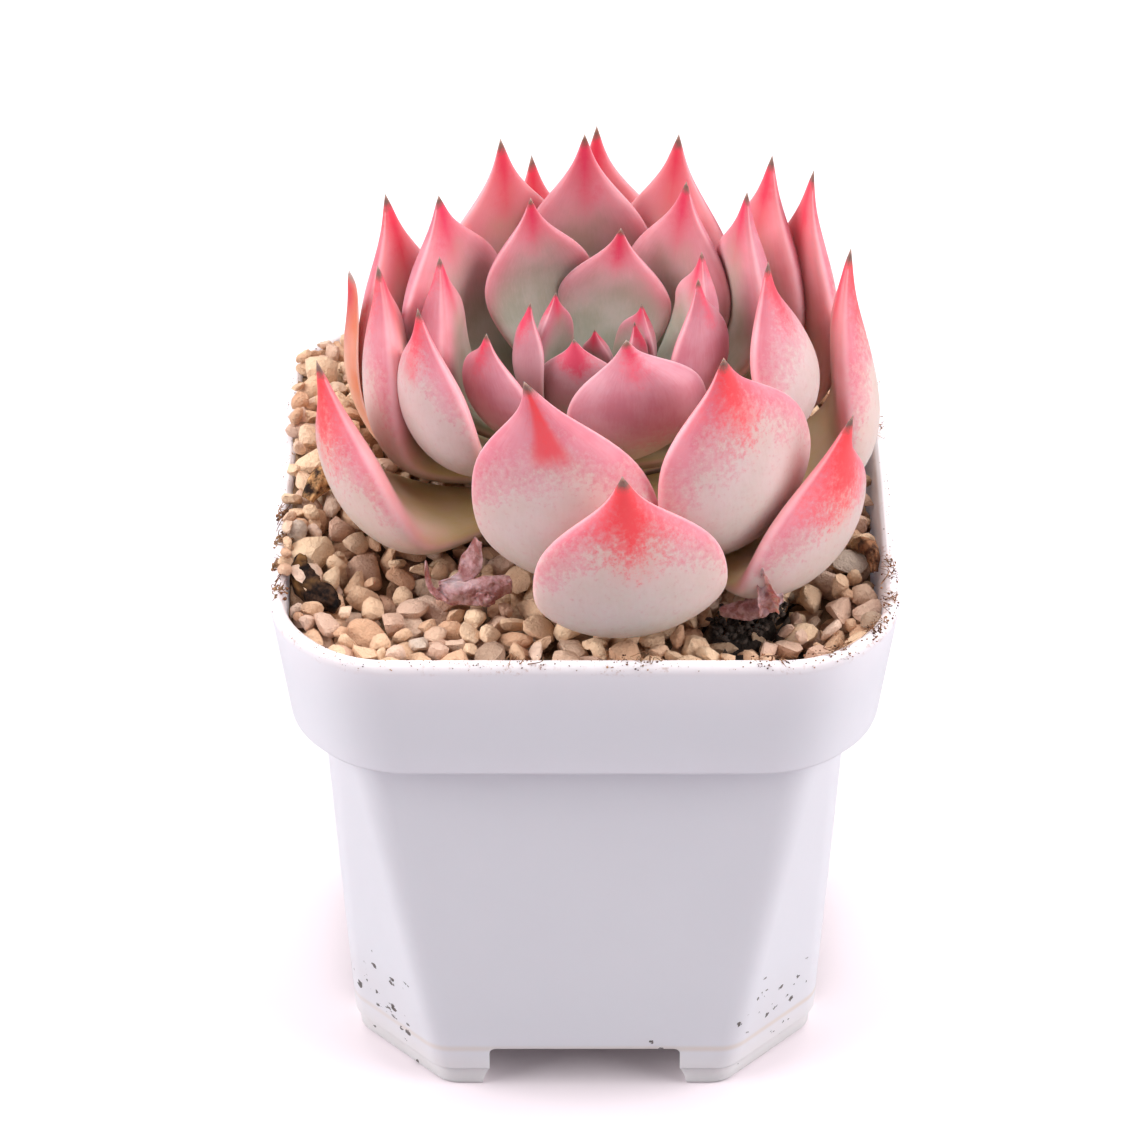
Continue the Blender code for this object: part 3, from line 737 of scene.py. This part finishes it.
def makeStemMaterial():
    material, tree, shader = newMaterial("woodyStem", 0.8)
    bark = grain(tree, 600.0, 4.0)
    dress(tree, shader, tint(tree, bark, *barkLook), bark, 0.6, 0.0006)
    return material


earthMaterial = makeEarthMaterial()
for name, material in (("potting_soil", earthMaterial), ("stem", makeStemMaterial())):
    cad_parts[name].data.materials.clear()
    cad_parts[name].data.materials.append(material)


# gravel

gravelShape = {
    "cell": 0.4 * mm, "depth": 3.6 * mm, "poke": 1.2 * mm, "sink": 0.3 * mm, "clear": 0.25 * mm,
    "tries": 30, "seed": 11, "sharpAngle": 42,
    "grades": (  # how many, longest half length
        (300, 2.25 * mm), (460, 1.9 * mm), (420, 1.35 * mm), (180, 0.9 * mm)),
    "heaps": (  # height, place, reach
        (4.6 * mm, (-33 * mm, 14 * mm), (16 * mm, 38 * mm)),
        (2.2 * mm, (35 * mm, -4 * mm), (10 * mm, 34 * mm))),
    "onLip": 0.75, "leastOnLip": 0.4 * mm,  # share of a heap that lies on the lip, and the least that shows
    "lipInset": 1.1 * mm,
    "bareDepth": 3.2 * mm, "bareSpots": (  # place, reach
        (17.0 * mm, -23.2 * mm, 3.6 * mm), (20.6 * mm, -20.4 * mm, 2.0 * mm)),
}
stoneShape = {
    "length": (0.75, 1.25), "width": (0.58, 0.95), "height": (0.42, 0.82), "tilt": 34,
    "sides": (7, 10), "sideDepth": (0.45, 0.76), "flatness": 0.92, "detail": 2,
    "lumps": 6, "lumpSize": (-0.30, 0.24), "fullness": 1.26, "roughness": 0.05,
    "tone": (0.62, 0.27),
}
gravelLook = {
    "tan": ((0.74, 0.41, 0.25), (1.0, 0.72, 0.485)), "pinkish": ((0.68, 0.40, 0.29), (0.94, 0.69, 0.54)),
    "pale": (0.70, 0.56, 0.46), "dark": (0.7, (0.42, 0.31, 0.24)),
    "pores": (0.28, (0.46, 0.26, 0.15)), "dust": (0.4, (0.90, 0.72, 0.52)),
}


def makeGravelMaterial():
    look = gravelLook
    material, tree, shader = newMaterial("fineGravel", 0.9)
    tone, hue = readAttribute(tree, "tone"), readAttribute(tree, "hue")
    fine, pores = grain(tree, 2200.0, 4.0, rough=0.7), grain(tree, 520.0, 4.0, rough=0.6)
    tan, pinkish = tint(tree, tone, *look["tan"]), tint(tree, tone, *look["pinkish"])
    color = tint(tree, fade(tree, hue, 0.55, 0.9), tan, pinkish)
    color = tint(tree, fade(tree, hue, 0.98, 0.995), color, look["pale"])
    color = layer(tree, color, fade(tree, hue, 0.06, 0.02), *look["dark"])
    color = layer(tree, color, fade(tree, pores, 0.54, 0.70), *look["pores"])
    color = layer(tree, color, fade(tree, fine, 0.5, 0.8), *look["dust"])
    dress(tree, shader, color, plus(tree, times(tree, pores, 0.9), times(tree, fine, 0.5)), 0.9, 0.0011)
    return material


def onLip(x, y):
    # inside the rim's outer edge
    inset = gravelShape["lipInset"]
    half = rimHalf - inset
    return max(abs(x), abs(y)) < half and abs(x) + abs(y) < 2 * (half - inset) - potShape["rimCut"]


def inBareSpot(x, y, beyond=0.0):
    return any(math.hypot(x - sx, y - sy) < reach + beyond for sx, sy, reach in gravelShape["bareSpots"])


class Bed:
    # heights over the pot's opening: what the gravel may fill, and what fills it so far

    def __init__(self):
        self.cell = gravelShape["cell"]
        self.low = potLow.xy
        self.count = tuple(int((potHigh[axis] - potLow[axis]) / self.cell) + 1 for axis in (0, 1))
        self.goal = np.full(self.count, np.nan)
        self.roof = np.full(self.count, 1.0)
        self.lip = []
        self.setGoal()
        self.setRoof()
        self.inside = ~np.isnan(self.goal)
        self.height = np.where(self.inside, self.goal - gravelShape["depth"], 1.0)
        for i, j in self.lip:
            self.height[i, j] = lipHeight

    def place(self, i, j):
        return self.low.x + i * self.cell, self.low.y + j * self.cell

    def setGoal(self):
        # the gravel's top with its heaps, which also lie on the lip at the left, and its bare spots
        ground = BVHTree.FromBMesh(mergedCopy("gravel"))
        for i, j in np.ndindex(self.count):
            x, y = self.place(i, j)
            hit = ground.ray_cast(Vector((x, y, 2 * lipHeight)), Vector((0, 0, -1)))[0]
            raised = sum(height * max(0.0, 1 - ((x - middle[0]) / reach[0]) ** 2
                                      - ((y - middle[1]) / reach[1]) ** 2)
                         for height, middle, reach in gravelShape["heaps"])
            if hit is not None:
                bare = inBareSpot(x, y)
                self.goal[i, j] = hit.z - gravelShape["bareDepth"] if bare else hit.z + raised
            elif raised > gravelShape["leastOnLip"] and x < 0 and onLip(x, y):
                self.goal[i, j] = lipHeight + gravelShape["onLip"] * raised
                self.lip.append((i, j))

    def setRoof(self):
        # the undersides of the leaves, on every other cell
        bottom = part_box("gravel")[0].z
        covers = [BVHTree.FromBMesh(mergedCopy(name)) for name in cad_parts
                  if "leaf" in name and not name.startswith("dry")]
        for i in range(0, self.count[0], 2):
            for j in range(0, self.count[1], 2):
                start = Vector((*self.place(i, j), bottom))
                hits = [tree.ray_cast(start, Vector((0, 0, 1)))[0] for tree in covers]
                heights = [hit.z for hit in hits if hit is not None]
                if heights:
                    self.roof[i:i + 2, j:j + 2] = min(heights)

    def settle(self, shape, x, y):
        # where a stone comes to rest at x, y, or None if it doesn't fit
        spans = []
        for at, start, spread, count in zip((x, y), self.low, shape["cover"], self.count):
            radius = math.sqrt(spread)
            first, last = (int((at + way * radius - start) / self.cell) + 1 for way in (-1, 1))
            if first < 0 or last > count or last <= first:
                return None
            spans.append((first, last))
        (i0, i1), (j0, j1) = spans
        window = (slice(i0, i1), slice(j0, j1))
        gx = self.low.x + np.arange(i0, i1)[:, None] * self.cell - x
        gy = self.low.y + np.arange(j0, j1)[None, :] * self.cell - y
        # height of the stone's underside and top: the roots of a * z * z + 2 * b * z + c
        form = shape["form"]
        a, b = form[2, 2], form[0, 2] * gx + form[1, 2] * gy
        c = form[0, 0] * gx * gx + 2 * form[0, 1] * gx * gy + form[1, 1] * gy * gy - 1
        inner = b * b - a * c
        covered = inner > 0
        if not covered.any() or not self.inside[window][covered].all():
            return None
        root = np.sqrt(np.where(covered, inner, 0))
        under, over = (-b - root) / a, (-b + root) / a
        z = (self.height[window] - under)[covered].max() - gravelShape["sink"]
        if ((z + over - self.roof[window])[covered] > -gravelShape["clear"]).any():
            return None
        above = (z + over - self.goal[window])[covered].max()
        if above > gravelShape["poke"]:
            return None
        return z, above, window, covered, z + over

    def fill(self, found):
        _, _, window, covered, over = found
        self.height[window] = np.where(covered, np.maximum(self.height[window], over), self.height[window])


def stoneForm(chance, length):
    # the half axes and turn of one stone, the matrix of its ellipsoid and how far that reaches
    shape = stoneShape
    width, height = chance.uniform(*shape["width"]), chance.uniform(*shape["height"])
    axes = Vector((length, length * width, length * height))
    turn = (Matrix.Rotation(chance.uniform(0, 2 * math.pi), 3, "Z")
            @ Matrix.Rotation(math.radians(chance.gauss(0, shape["tilt"])), 3, "X")
            @ Matrix.Rotation(math.radians(chance.gauss(0, shape["tilt"])), 3, "Y"))
    inner = Matrix.Diagonal([1 / value ** 2 for value in axes])
    form = np.array(turn @ inner @ turn.transposed())
    spread = np.linalg.inv(form)
    return {"axes": axes, "turn": turn, "form": form, "cover": (spread[0, 0], spread[1, 1])}


def anyWay(chance):
    return Vector((chance.gauss(0, 1), chance.gauss(0, 1), chance.gauss(0, 1))).normalized()


def addStone(bm, layers, chance, form, place, tone, hue):
    # a ball with a few lumps, pressed flat on a few sides, then drawn to the stone's axes
    shape = stoneShape
    made = bmesh.ops.create_icosphere(bm, subdivisions=shape["detail"], radius=1.0)["verts"]
    flats = chance.randint(*shape["sides"])
    sides = [(anyWay(chance), chance.uniform(*shape["sideDepth"])) for _ in range(flats)]
    lumps = [(anyWay(chance), chance.uniform(*shape["lumpSize"])) for _ in range(shape["lumps"])]
    stretch = Matrix.Diagonal(form["axes"])
    for vert in made:
        point = vert.co.copy()
        for way, size in lumps:
            point *= 1 + size * max(0.0, point.normalized().dot(way)) ** 3
        for way, limit in sides:
            beyond = point.dot(way) - limit
            if beyond > 0:
                point -= way * beyond * shape["flatness"]
        point *= shape["fullness"] + chance.uniform(-shape["roughness"], shape["roughness"])
        vert.co = place + form["turn"] @ (stretch @ point)
        vert[layers[0]], vert[layers[1]] = tone, hue


def makeGravel():
    chance = random.Random(gravelShape["seed"])
    bed = Bed()
    print("gravel bed", bed.count)
    bm = bmesh.new()
    layers = (bm.verts.layers.float.new("tone"), bm.verts.layers.float.new("hue"))
    placed = 0
    spots = np.argwhere(bed.inside)
    for count, length in gravelShape["grades"]:
        for _ in range(count):
            form = stoneForm(chance, length * chance.uniform(*stoneShape["length"]))
            best = None
            for _ in range(gravelShape["tries"]):
                x, y = bed.place(*spots[chance.randrange(len(spots))])
                found = bed.settle(form, x, y)
                if found and (best is None or found[1] < best[0][1]):
                    best = (found, x, y)
            if best:
                found, x, y = best
                bed.fill(found)
                tone = min(1.0, max(0.0, chance.gauss(*stoneShape["tone"])))
                addStone(bm, layers, chance, form, Vector((x, y, found[0])), tone, chance.random())
                placed += 1
    piece = addPiece("gravelStones", bm, makeGravelMaterial(), sharpAngle=gravelShape["sharpAngle"])
    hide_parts("gravel")
    print("gravel stones", placed, "faces", len(piece.data.polygons))
    return bed


soilShape = {
    "seed": 5, "step": 3, "below": 3.4 * mm, "rough": 0.5, "thickness": 1.2 * mm,
    "spotRise": 3.6 * mm, "spotEdge": 0.3 * mm,
}


def makeSoilBed(bed):
    # the dark earth seen between the stones
    chance = random.Random(soilShape["seed"])
    rough = soilShape["rough"]
    bm = bmesh.new()
    grit = bm.verts.layers.float.new("grit")
    counts = [count // soilShape["step"] for count in bed.count]
    cells = [count * soilShape["step"] for count in counts]
    bmesh.ops.create_grid(bm, x_segments=counts[0], y_segments=counts[1], size=0.5)
    drop = []
    for vert in bm.verts:
        shares = (vert.co.x + 0.5, vert.co.y + 0.5)
        i, j = (min(most - 1, max(0, round(share * span)))
                for share, span, most in zip(shares, cells, bed.count))
        inside = bed.inside[i, j]
        top = bed.goal[i, j] if inside else 0
        x, y = (start + share * (span * bed.cell) for start, share, span in zip(bed.low, shares, cells))
        vert.co = Vector((x, y, top - soilShape["below"] + chance.uniform(-rough, rough) * mm))
        vert[grit] = 1.0
        if not inside:
            drop.append(vert)
        elif inBareSpot(vert.co.x, vert.co.y, soilShape["spotEdge"]):
            vert.co.z += soilShape["spotRise"]
            vert[grit] = 0.0
    bmesh.ops.delete(bm, geom=drop, context="VERTS")
    drawOut(bm, list(bm.faces), (0, 0, -soilShape["thickness"]))
    addPiece("soilBed", bm, earthMaterial)
    print("soil bed")


makeSoilBed(makeGravel())


# dried leaves, bark and crumbs, in millimetres

sheetShape = {
    "rows": 30, "columns": 10, "thickness": 0.28, "curl": 0.9,
    "creases": (7, 2.2), "fineCreases": (17, 6), "fineShare": 0.45, "fray": (9, 0.25),
}


def curvePoint(path, share):
    # a smooth line through the path's points
    at = share * (len(path) - 1)
    i = min(int(at), len(path) - 2)
    a, b, c, d = (Vector(path[min(len(path) - 1, max(0, k))]) for k in range(i - 1, i + 3))
    t = at - i
    return 0.5 * (2 * b + (c - a) * t + (2 * a - 5 * b + 4 * c - d) * t ** 2
                  + (3 * b - a - 3 * c + d) * t ** 3)


def curveValue(values, share):
    return curvePoint([(value, 0, 0) for value in values], share).x


def crease(share, u, scales, seed):
    return noise.noise(Vector((share * scales[0], u * scales[1], seed)))


def addSheet(bm, path, widths, leans, wrinkle, seed, **changes):
    # a dried sheet drawn along a path, leaning and curled across it, and wrinkled
    shape = {**sheetShape, **changes}
    curl, (frayScale, fray) = shape["curl"], shape["fray"]
    made = bmesh.ops.create_grid(bm, x_segments=shape["rows"], y_segments=shape["columns"], size=0.5)["verts"]
    faces = list(dict.fromkeys(face for vert in made for face in vert.link_faces))
    for vert in made:
        share, u = vert.co.x + 0.5, 2 * vert.co.y
        place = curvePoint(path, share)
        ahead = curvePoint(path, min(1.0, share + 0.02)) - curvePoint(path, max(0.0, share - 0.02))
        ahead.normalize()
        width, lean = curveValue(widths, share), math.radians(curveValue(leans, share))
        flat = ahead.cross(Vector((0, 0, 1))).normalized()
        side = flat * math.cos(lean) + flat.cross(ahead).normalized() * -math.sin(lean)
        out = ahead.cross(side).normalized()
        bend = u * curl
        crumple = crease(share, u, shape["creases"], seed) + shape["fineShare"] * crease(
            share, u, shape["fineCreases"], seed + 9)
        edge = crease(share, round(u), (frayScale, 1), seed + 4) * abs(u) * fray
        point = place + side * width * (math.sin(bend) / curl + edge) + out * (
            width * (1 - math.cos(bend)) / curl + wrinkle * crumple)
        vert.co = point * mm
    bmesh.ops.solidify(bm, geom=faces, thickness=shape["thickness"] * mm)


def addSheets(name, material, slot, *sheets):
    bm = bmesh.new()
    for sheet in sheets:
        addSheet(bm, **sheet)
    return addPiece(name, bm, material, levels=1)


def addStrand(bm, path, radius, steps=8):
    # a thin fibre
    ring = bmesh.ops.create_circle(bm, cap_ends=True, segments=4, radius=radius)["verts"]
    face = next(iter(ring[0].link_faces))
    for vert in ring:
        vert.co = (vert.co + Vector(path[0])) * mm
    for step in range(1, steps + 1):
        face = bmesh.ops.extrude_discrete_faces(bm, faces=[face])["faces"][0]
        middle = face.calc_center_median()
        move = curvePoint(path, step / steps) * mm - middle
        for vert in face.verts:
            vert.co = middle + move + (vert.co - middle) * (0.9 if step < steps else 0.4)


def addCrumb(bm, chance, place, size, squash=0.7):
    # a rough crumb
    turn = Matrix.Rotation(chance.uniform(0, 6.28), 3, "Z") @ Matrix.Rotation(chance.uniform(0, 3.14), 3, "X")
    for vert in bmesh.ops.create_icosphere(bm, subdivisions=1, radius=1.0)["verts"]:
        form = vert.co * chance.uniform(0.65, 1.25)
        form = Vector((form.x * size, form.y * size * 0.8, form.z * size * squash))
        vert.co = (Vector(place) + turn @ form) * mm


def makeDryMaterial(name, dark, pale, film, glow):
    material, tree, shader = newMaterial(name, 0.8 - 0.7 * glow, Subsurface_Weight=glow,
                                         Subsurface_Scale=0.0015)
    shader.inputs["Specular IOR Level"].default_value = 0.1 + glow
    vein, cloud = grain(tree, 900.0, 4.0, rough=0.6), grain(tree, 260.0, 3.0)
    color = tint(tree, fade(tree, vein, 0.36, 0.66), dark, pale)
    color = layer(tree, color, fade(tree, cloud, 0.5, 0.72), 0.7, film)
    dress(tree, shader, color, plus(tree, vein, cloud), 0.7, 0.0005)
    return material


dryMaterials = {name: makeDryMaterial(name, *values) for name, values in {  # dark, pale, film, glow
    "driedSkin": ((0.30, 0.115, 0.11), (0.62, 0.36, 0.37), (0.66, 0.54, 0.57), 0.25),
    "brownHusk": ((0.04, 0.016, 0.010), (0.30, 0.14, 0.07), (0.52, 0.31, 0.16), 0.1),
    "scorchedHusk": ((0.02, 0.010, 0.006), (0.62, 0.33, 0.14), (0.78, 0.48, 0.24), 0.1),
    "charredBark": ((0.006, 0.004, 0.004), (0.060, 0.030, 0.018), (0.40, 0.20, 0.07), 0.0),
}.items()}


def boxSides(node):
    # left, front, bottom, right and back of a part
    low, high = (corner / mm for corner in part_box(node))
    return *low, high.x, high.y


def makeDriedLeaves():
    x, y, z, right, _ = boxSides("dry_leaf_left")
    piece = addSheets("curledLeafLeft", dryMaterials["driedSkin"], "dry_leaf", {
        "path": [(x + 1.2, y + 1.2, z + 0.7), (x + 2.6, y + 0.5, z + 1.1), (x + 5.0, y + 0.3, z + 1.3),
                 (x + 7.4, y + 0.7, z + 1.6), (right + 0.1, y + 1.7, z + 1.5)],
        "widths": (0.7, 1.3, 1.7, 1.5, 1.1), "leans": (60, 66, 58, 62, 70), "wrinkle": 0.5, "seed": 1.3}, {
        "path": [(x + 2.6, y + 0.9, z + 0.5), (x + 1.3, y + 0.9, z + 1.3), (x + 0.6, y + 1.0, z + 2.6),
                 (x + 0.2, y + 1.4, z + 5.0)],
        "widths": (1.1, 0.9, 0.6, 0.1), "leans": (20, 10, 0, 0), "wrinkle": 0.25, "seed": 5.1, "rows": 18}, {
        "path": [(x + 1.6, y + 1.6, z + 1.5), (x + 3.2, y + 1.9, z + 1.9), (x + 4.4, y + 2.2, z + 2.5),
                 (x + 5.2, y + 2.9, z + 4.4), (x + 5.8, y + 3.3, z + 6.6)],
        "widths": (0.35, 0.5, 1.1, 1.5, 0.8), "leans": (50, 50, 30, 8, 0), "wrinkle": 0.22, "seed": 8.7,
        "curl": 0.6}, {
        "path": [(x + 5.6, y + 0.2, z + 1.0), (x + 6.8, y - 0.1, z + 0.5), (x + 7.9, y + 0.1, z + 0.5)],
        "widths": (0.5, 0.9, 0.5), "leans": (70, 80, 80), "wrinkle": 0.3, "seed": 12.4, "rows": 14})
    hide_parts("dry_leaf_left")
    x, y, z, *_ = boxSides("dry_leaf_right")
    piece = addSheets("curledLeafRight", dryMaterials["driedSkin"], "dry_leaf", {
        "path": [(x + 2.6, y + 3.4, z + 0.7), (x + 4.4, y + 2.4, z + 1.2), (x + 6.0, y + 2.0, z + 2.0),
                 (x + 7.8, y + 2.2, z + 3.0), (x + 9.6, y + 3.0, z + 2.9)],
        "widths": (0.6, 1.1, 1.5, 1.7, 0.9), "leans": (45, 52, 52, 58, 64), "wrinkle": 0.45, "seed": 21.3}, {
        "path": [(x + 7.9, y + 1.8, z + 1.6), (x + 7.7, y + 1.4, z + 3.6), (x + 7.5, y + 1.1, z + 5.6),
                 (x + 7.1, y + 0.9, z + 8.2)],
        "widths": (1.3, 1.5, 1.1, 0.15), "leans": (34, 38, 42, 42), "wrinkle": 0.4, "seed": 25.9,
        "rows": 20, "curl": 1.1})
    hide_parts("dry_leaf_right")
    x, y, z, right, back = boxSides("bark_flake")
    piece = addSheets("charredFlake", dryMaterials["charredBark"], "bark", {
        "path": [(x + 0.2, back + 0.4, z + 1.4), (x + 0.1, back - 2.0, z + 1.3),
                 (x + 1.2, back - 4.4, z + 0.9), (right - 1.4, y + 1.0, z + 0.4), (right, y + 0.3, z - 0.1)],
        "widths": (0.9, 1.7, 1.9, 1.6, 0.7), "leans": (30, 34, 38, 40, 30), "wrinkle": 0.55, "seed": 33.0,
        "thickness": 0.8, "curl": 1.1})
    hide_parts("bark_flake")
    addSheets("brownFlake", dryMaterials["brownHusk"], "bark", {
        "path": [(30.2, -9.4, 66.4), (31.2, -11.0, 67.6), (32.0, -12.8, 67.4), (32.4, -14.6, 66.0)],
        "widths": (0.8, 1.3, 1.2, 0.6), "leans": (20, 30, 40, 30), "wrinkle": 0.5, "seed": 41.0,
        "rows": 18, "curl": 1.3})
    addSheets("scorchedChip", dryMaterials["scorchedHusk"], "bark", {
        "path": [(-31.4, -6.0, 69.9), (-30.4, -4.8, 71.1), (-29.0, -3.8, 71.9), (-27.6, -4.8, 71.2),
                 (-26.6, -6.8, 69.8)],
        "widths": (0.9, 1.5, 1.7, 1.4, 0.6), "leans": (20, 26, 34, 40, 46), "wrinkle": 0.55, "seed": 47.0,
        "rows": 22, "curl": 1.0})
    print("dried leaves and bark")


crumbShape = {
    "seed": 23,
    "tufts": (  # place towards the lip, spread, crumbs, largest crumb, fibres
        ((-35, -6.6), 0.8, 30, 0.34, 14), ((-35, -11.4), 0.9, 40, 0.34, 16),
        ((-35, -16.0), 0.9, 60, 0.38, 12), ((-33, -21.0), 1.4, 16, 0.30, 9),
        ((35, -17.0), 2.0, 18, 0.20, 10), ((34, -22.0), 2.2, 22, 0.20, 12),
        ((31, -27.5), 2.4, 34, 0.22, 14), ((27, -31.5), 2.2, 26, 0.20, 10),
        ((20, -34.5), 2.6, 24, 0.16, 8), ((6.0, -34.5), 2.2, 26, 0.18, 10),
        ((-6.0, -34.5), 3.0, 16, 0.14, 4), ((14, 34.5), 3.0, 12, 0.2, 4), ((35, 12), 3.0, 10, 0.2, 3)),
    "scatter": 0.6, "smallest": 0.07, "crumbInset": ((0.1, 1.0), (0.8, 2.2)),
    "fibreStart": (0.5, 2.2), "fibreSteps": ((0.8, (0.2, 1.6)), (0.9, (0.1, 2.2))),  # reach, inset
    "fibreRise": ((0.1, 0.9), (-0.1, 0.8)), "fibreRadius": (0.05, 0.11), "edge": 35, "reach": 33,
    "lipDust": 300, "dustSize": (0.04, 0.11), "dustInset": (0.1, 1.3), "atFront": 0.6,
    "lumps": 150, "lumpSize": (0.2, 0.62), "lumpSquash": 0.5, "lumpHeight": (64.6, 0.9),
}


def lipPoint(towards, inset):
    # a place on the lip's rounded top, nearest to a direction
    outline = rimOutline(lipHeight, inset * mm)
    aim = Vector(towards) * mm
    count = len(outline)
    at = min(range(count), key=lambda i: (outline[i].xy - aim).length)
    a, places = outline[at].xy, []
    for b in (outline[at - 1].xy, outline[(at + 1) % count].xy):  # the nearest spot on either edge beside it
        step = b - a
        places.append(a + step * max(0.0, min(1.0, (aim - a).dot(step) / step.length_squared)))
    place = min(places, key=lambda point: (point - aim).length)
    rise = max(0.0, 1 - inset / (potShape["lipRound"] * potShape["wall"] / mm))
    drop = potShape["lipDrop"] / mm * (1 - math.sqrt(1 - rise * rise))
    return Vector((place.x / mm, place.y / mm, lipHeight / mm - drop))


def strewn(chance, place, width, spread=1):
    return [value + chance.gauss(0, width) * spread for value in place]


def addLipCrumbs(bm, chance):
    shape = crumbShape
    for place, spread, crumbs, largest, fibres in shape["tufts"]:
        for _ in range(crumbs):
            towards = strewn(chance, place, shape["scatter"], spread)
            inset = chance.choice([chance.uniform(*limits) for limits in shape["crumbInset"]])
            addCrumb(bm, chance, lipPoint(towards, inset), chance.uniform(shape["smallest"], largest))
        for _ in range(fibres):
            towards = strewn(chance, place, shape["scatter"], spread)
            path = [lipPoint(towards, chance.uniform(*shape["fibreStart"]))]
            for reach, inset in shape["fibreSteps"]:
                path.append(lipPoint(strewn(chance, path[-1].xy, reach), chance.uniform(*inset)))
            for point, rise in zip(path[1:], shape["fibreRise"]):
                point.z += chance.uniform(*rise)
            addStrand(bm, path, chance.uniform(*shape["fibreRadius"]))
    edge, reach = shape["edge"], shape["reach"]
    for _ in range(shape["lipDust"]):  # fine dust strewn along the lip
        along = chance.uniform(-reach, reach)
        atFront = chance.random() < shape["atFront"]
        towards = (along, -edge) if atFront else (chance.choice((-edge, edge)), along)
        spot = lipPoint(towards, chance.uniform(*shape["dustInset"]))
        addCrumb(bm, chance, spot, chance.uniform(*shape["dustSize"]))


def addPeatLumps(bm, chance):
    base, rise = crumbShape["lumpHeight"]
    for _ in range(crumbShape["lumps"]):
        x, y, reach = chance.choice(gravelShape["bareSpots"])
        turn, far = chance.uniform(0, 2 * math.pi), math.sqrt(chance.random()) * reach * 0.95
        x, y = x + far * math.cos(turn), y + far * math.sin(turn)
        place = (x / mm, y / mm, base + chance.uniform(0, rise))
        addCrumb(bm, chance, place, chance.uniform(*crumbShape["lumpSize"]), crumbShape["lumpSquash"])


def makeCrumbs():
    chance = random.Random(crumbShape["seed"])
    bm = bmesh.new()
    addLipCrumbs(bm, chance)
    addPiece("lipCrumbs", bm, dryMaterials["brownHusk"])
    bm = bmesh.new()
    addPeatLumps(bm, chance)
    addPiece("peatLumps", bm, earthMaterial)
    print("crumbs")


makeDriedLeaves()
makeCrumbs()


# studio

studio = {
    "elevation": 36, "target": (0, 0, 0.0555), "distance": 0.549, "lens": 149.68, "shift": -0.0129,
    "sky": (0.95, 0.92, 1.0), "skyStrength": 0.18,
    "floorSize": 6.0, "floorTint": ((0.34, 0.32, 0.35), (0.84, 0.765, 0.80)),  # as it lights, as it looks
    "lamps": (  # name, azimuth, elevation, strength, softness, colour
        ("top", 178, 72, 2.35, 60, (1.0, 0.98, 0.96)),
        ("left", -80, 30, 3.15, 50, (1.0, 0.99, 1.0)),
        ("right", 80, 30, 3.15, 50, (1.0, 0.99, 1.0)),
    ),
}


def makeFloor():
    bm = bmesh.new()
    bmesh.ops.create_grid(bm, x_segments=4, y_segments=4, size=studio["floorSize"])
    material, tree, shader = newMaterial("paleFloor", 0.9)
    seen = addNode(tree, "ShaderNodeLightPath").outputs["Is Camera Ray"]
    tree.links.new(tint(tree, seen, *studio["floorTint"]), shader.inputs["Base Color"])
    shader.inputs["Specular IOR Level"].default_value = 0.1
    floor = addObject("floor", meshFrom("floor", bm))
    floor.data.materials.append(material)


def makeWorld():
    # a dim sky lights the object, and a white one stands behind it
    world = bpy.data.worlds.new("studio")
    world.use_nodes = True
    tree = world.node_tree
    sky = tree.nodes["Background"]
    sky.inputs["Color"].default_value = (*studio["sky"], 1)
    sky.inputs["Strength"].default_value = studio["skyStrength"]
    white = addNode(tree, "ShaderNodeBackground", {"Color": (1, 1, 1), "Strength": 1.0})
    seen = addNode(tree, "ShaderNodeLightPath").outputs["Is Camera Ray"]
    both = addNode(tree, "ShaderNodeMixShader", {0: seen, 1: sky.outputs[0], 2: white.outputs[0]})
    tree.links.new(both.outputs[0], tree.nodes["World Output"].inputs["Surface"])
    bpy.context.scene.world = world


def makeLamps():
    for name, azimuth, elevation, strength, softness, color in studio["lamps"]:
        lamp = bpy.data.lights.new(name, "SUN")
        lamp.energy, lamp.angle, lamp.color = strength, math.radians(softness), color
        turn, rise = math.radians(azimuth), math.radians(elevation)
        towards = Vector((math.sin(turn) * math.cos(rise), -math.cos(turn) * math.cos(rise), math.sin(rise)))
        holder = addObject(name, lamp)
        holder.rotation_mode = "QUATERNION"
        holder.rotation_quaternion = towards.to_track_quat("Z", "Y")


def makeCamera():
    rise = math.radians(studio["elevation"])
    camera = addObject("camera", bpy.data.cameras.new("camera"))
    camera.data.lens, camera.data.sensor_width, camera.data.shift_x = studio["lens"], 36, studio["shift"]
    towards = Vector((0, -math.cos(rise), math.sin(rise)))
    camera.location = Vector(studio["target"]) + towards * studio["distance"]
    camera.rotation_euler = (math.pi / 2 - rise, 0, 0)
    camera.data.clip_start = 0.01
    bpy.context.scene.camera = camera


makeFloor()
makeWorld()
makeLamps()
makeCamera()
bpy.context.scene.view_settings.view_transform = "Standard"
print("studio ready")
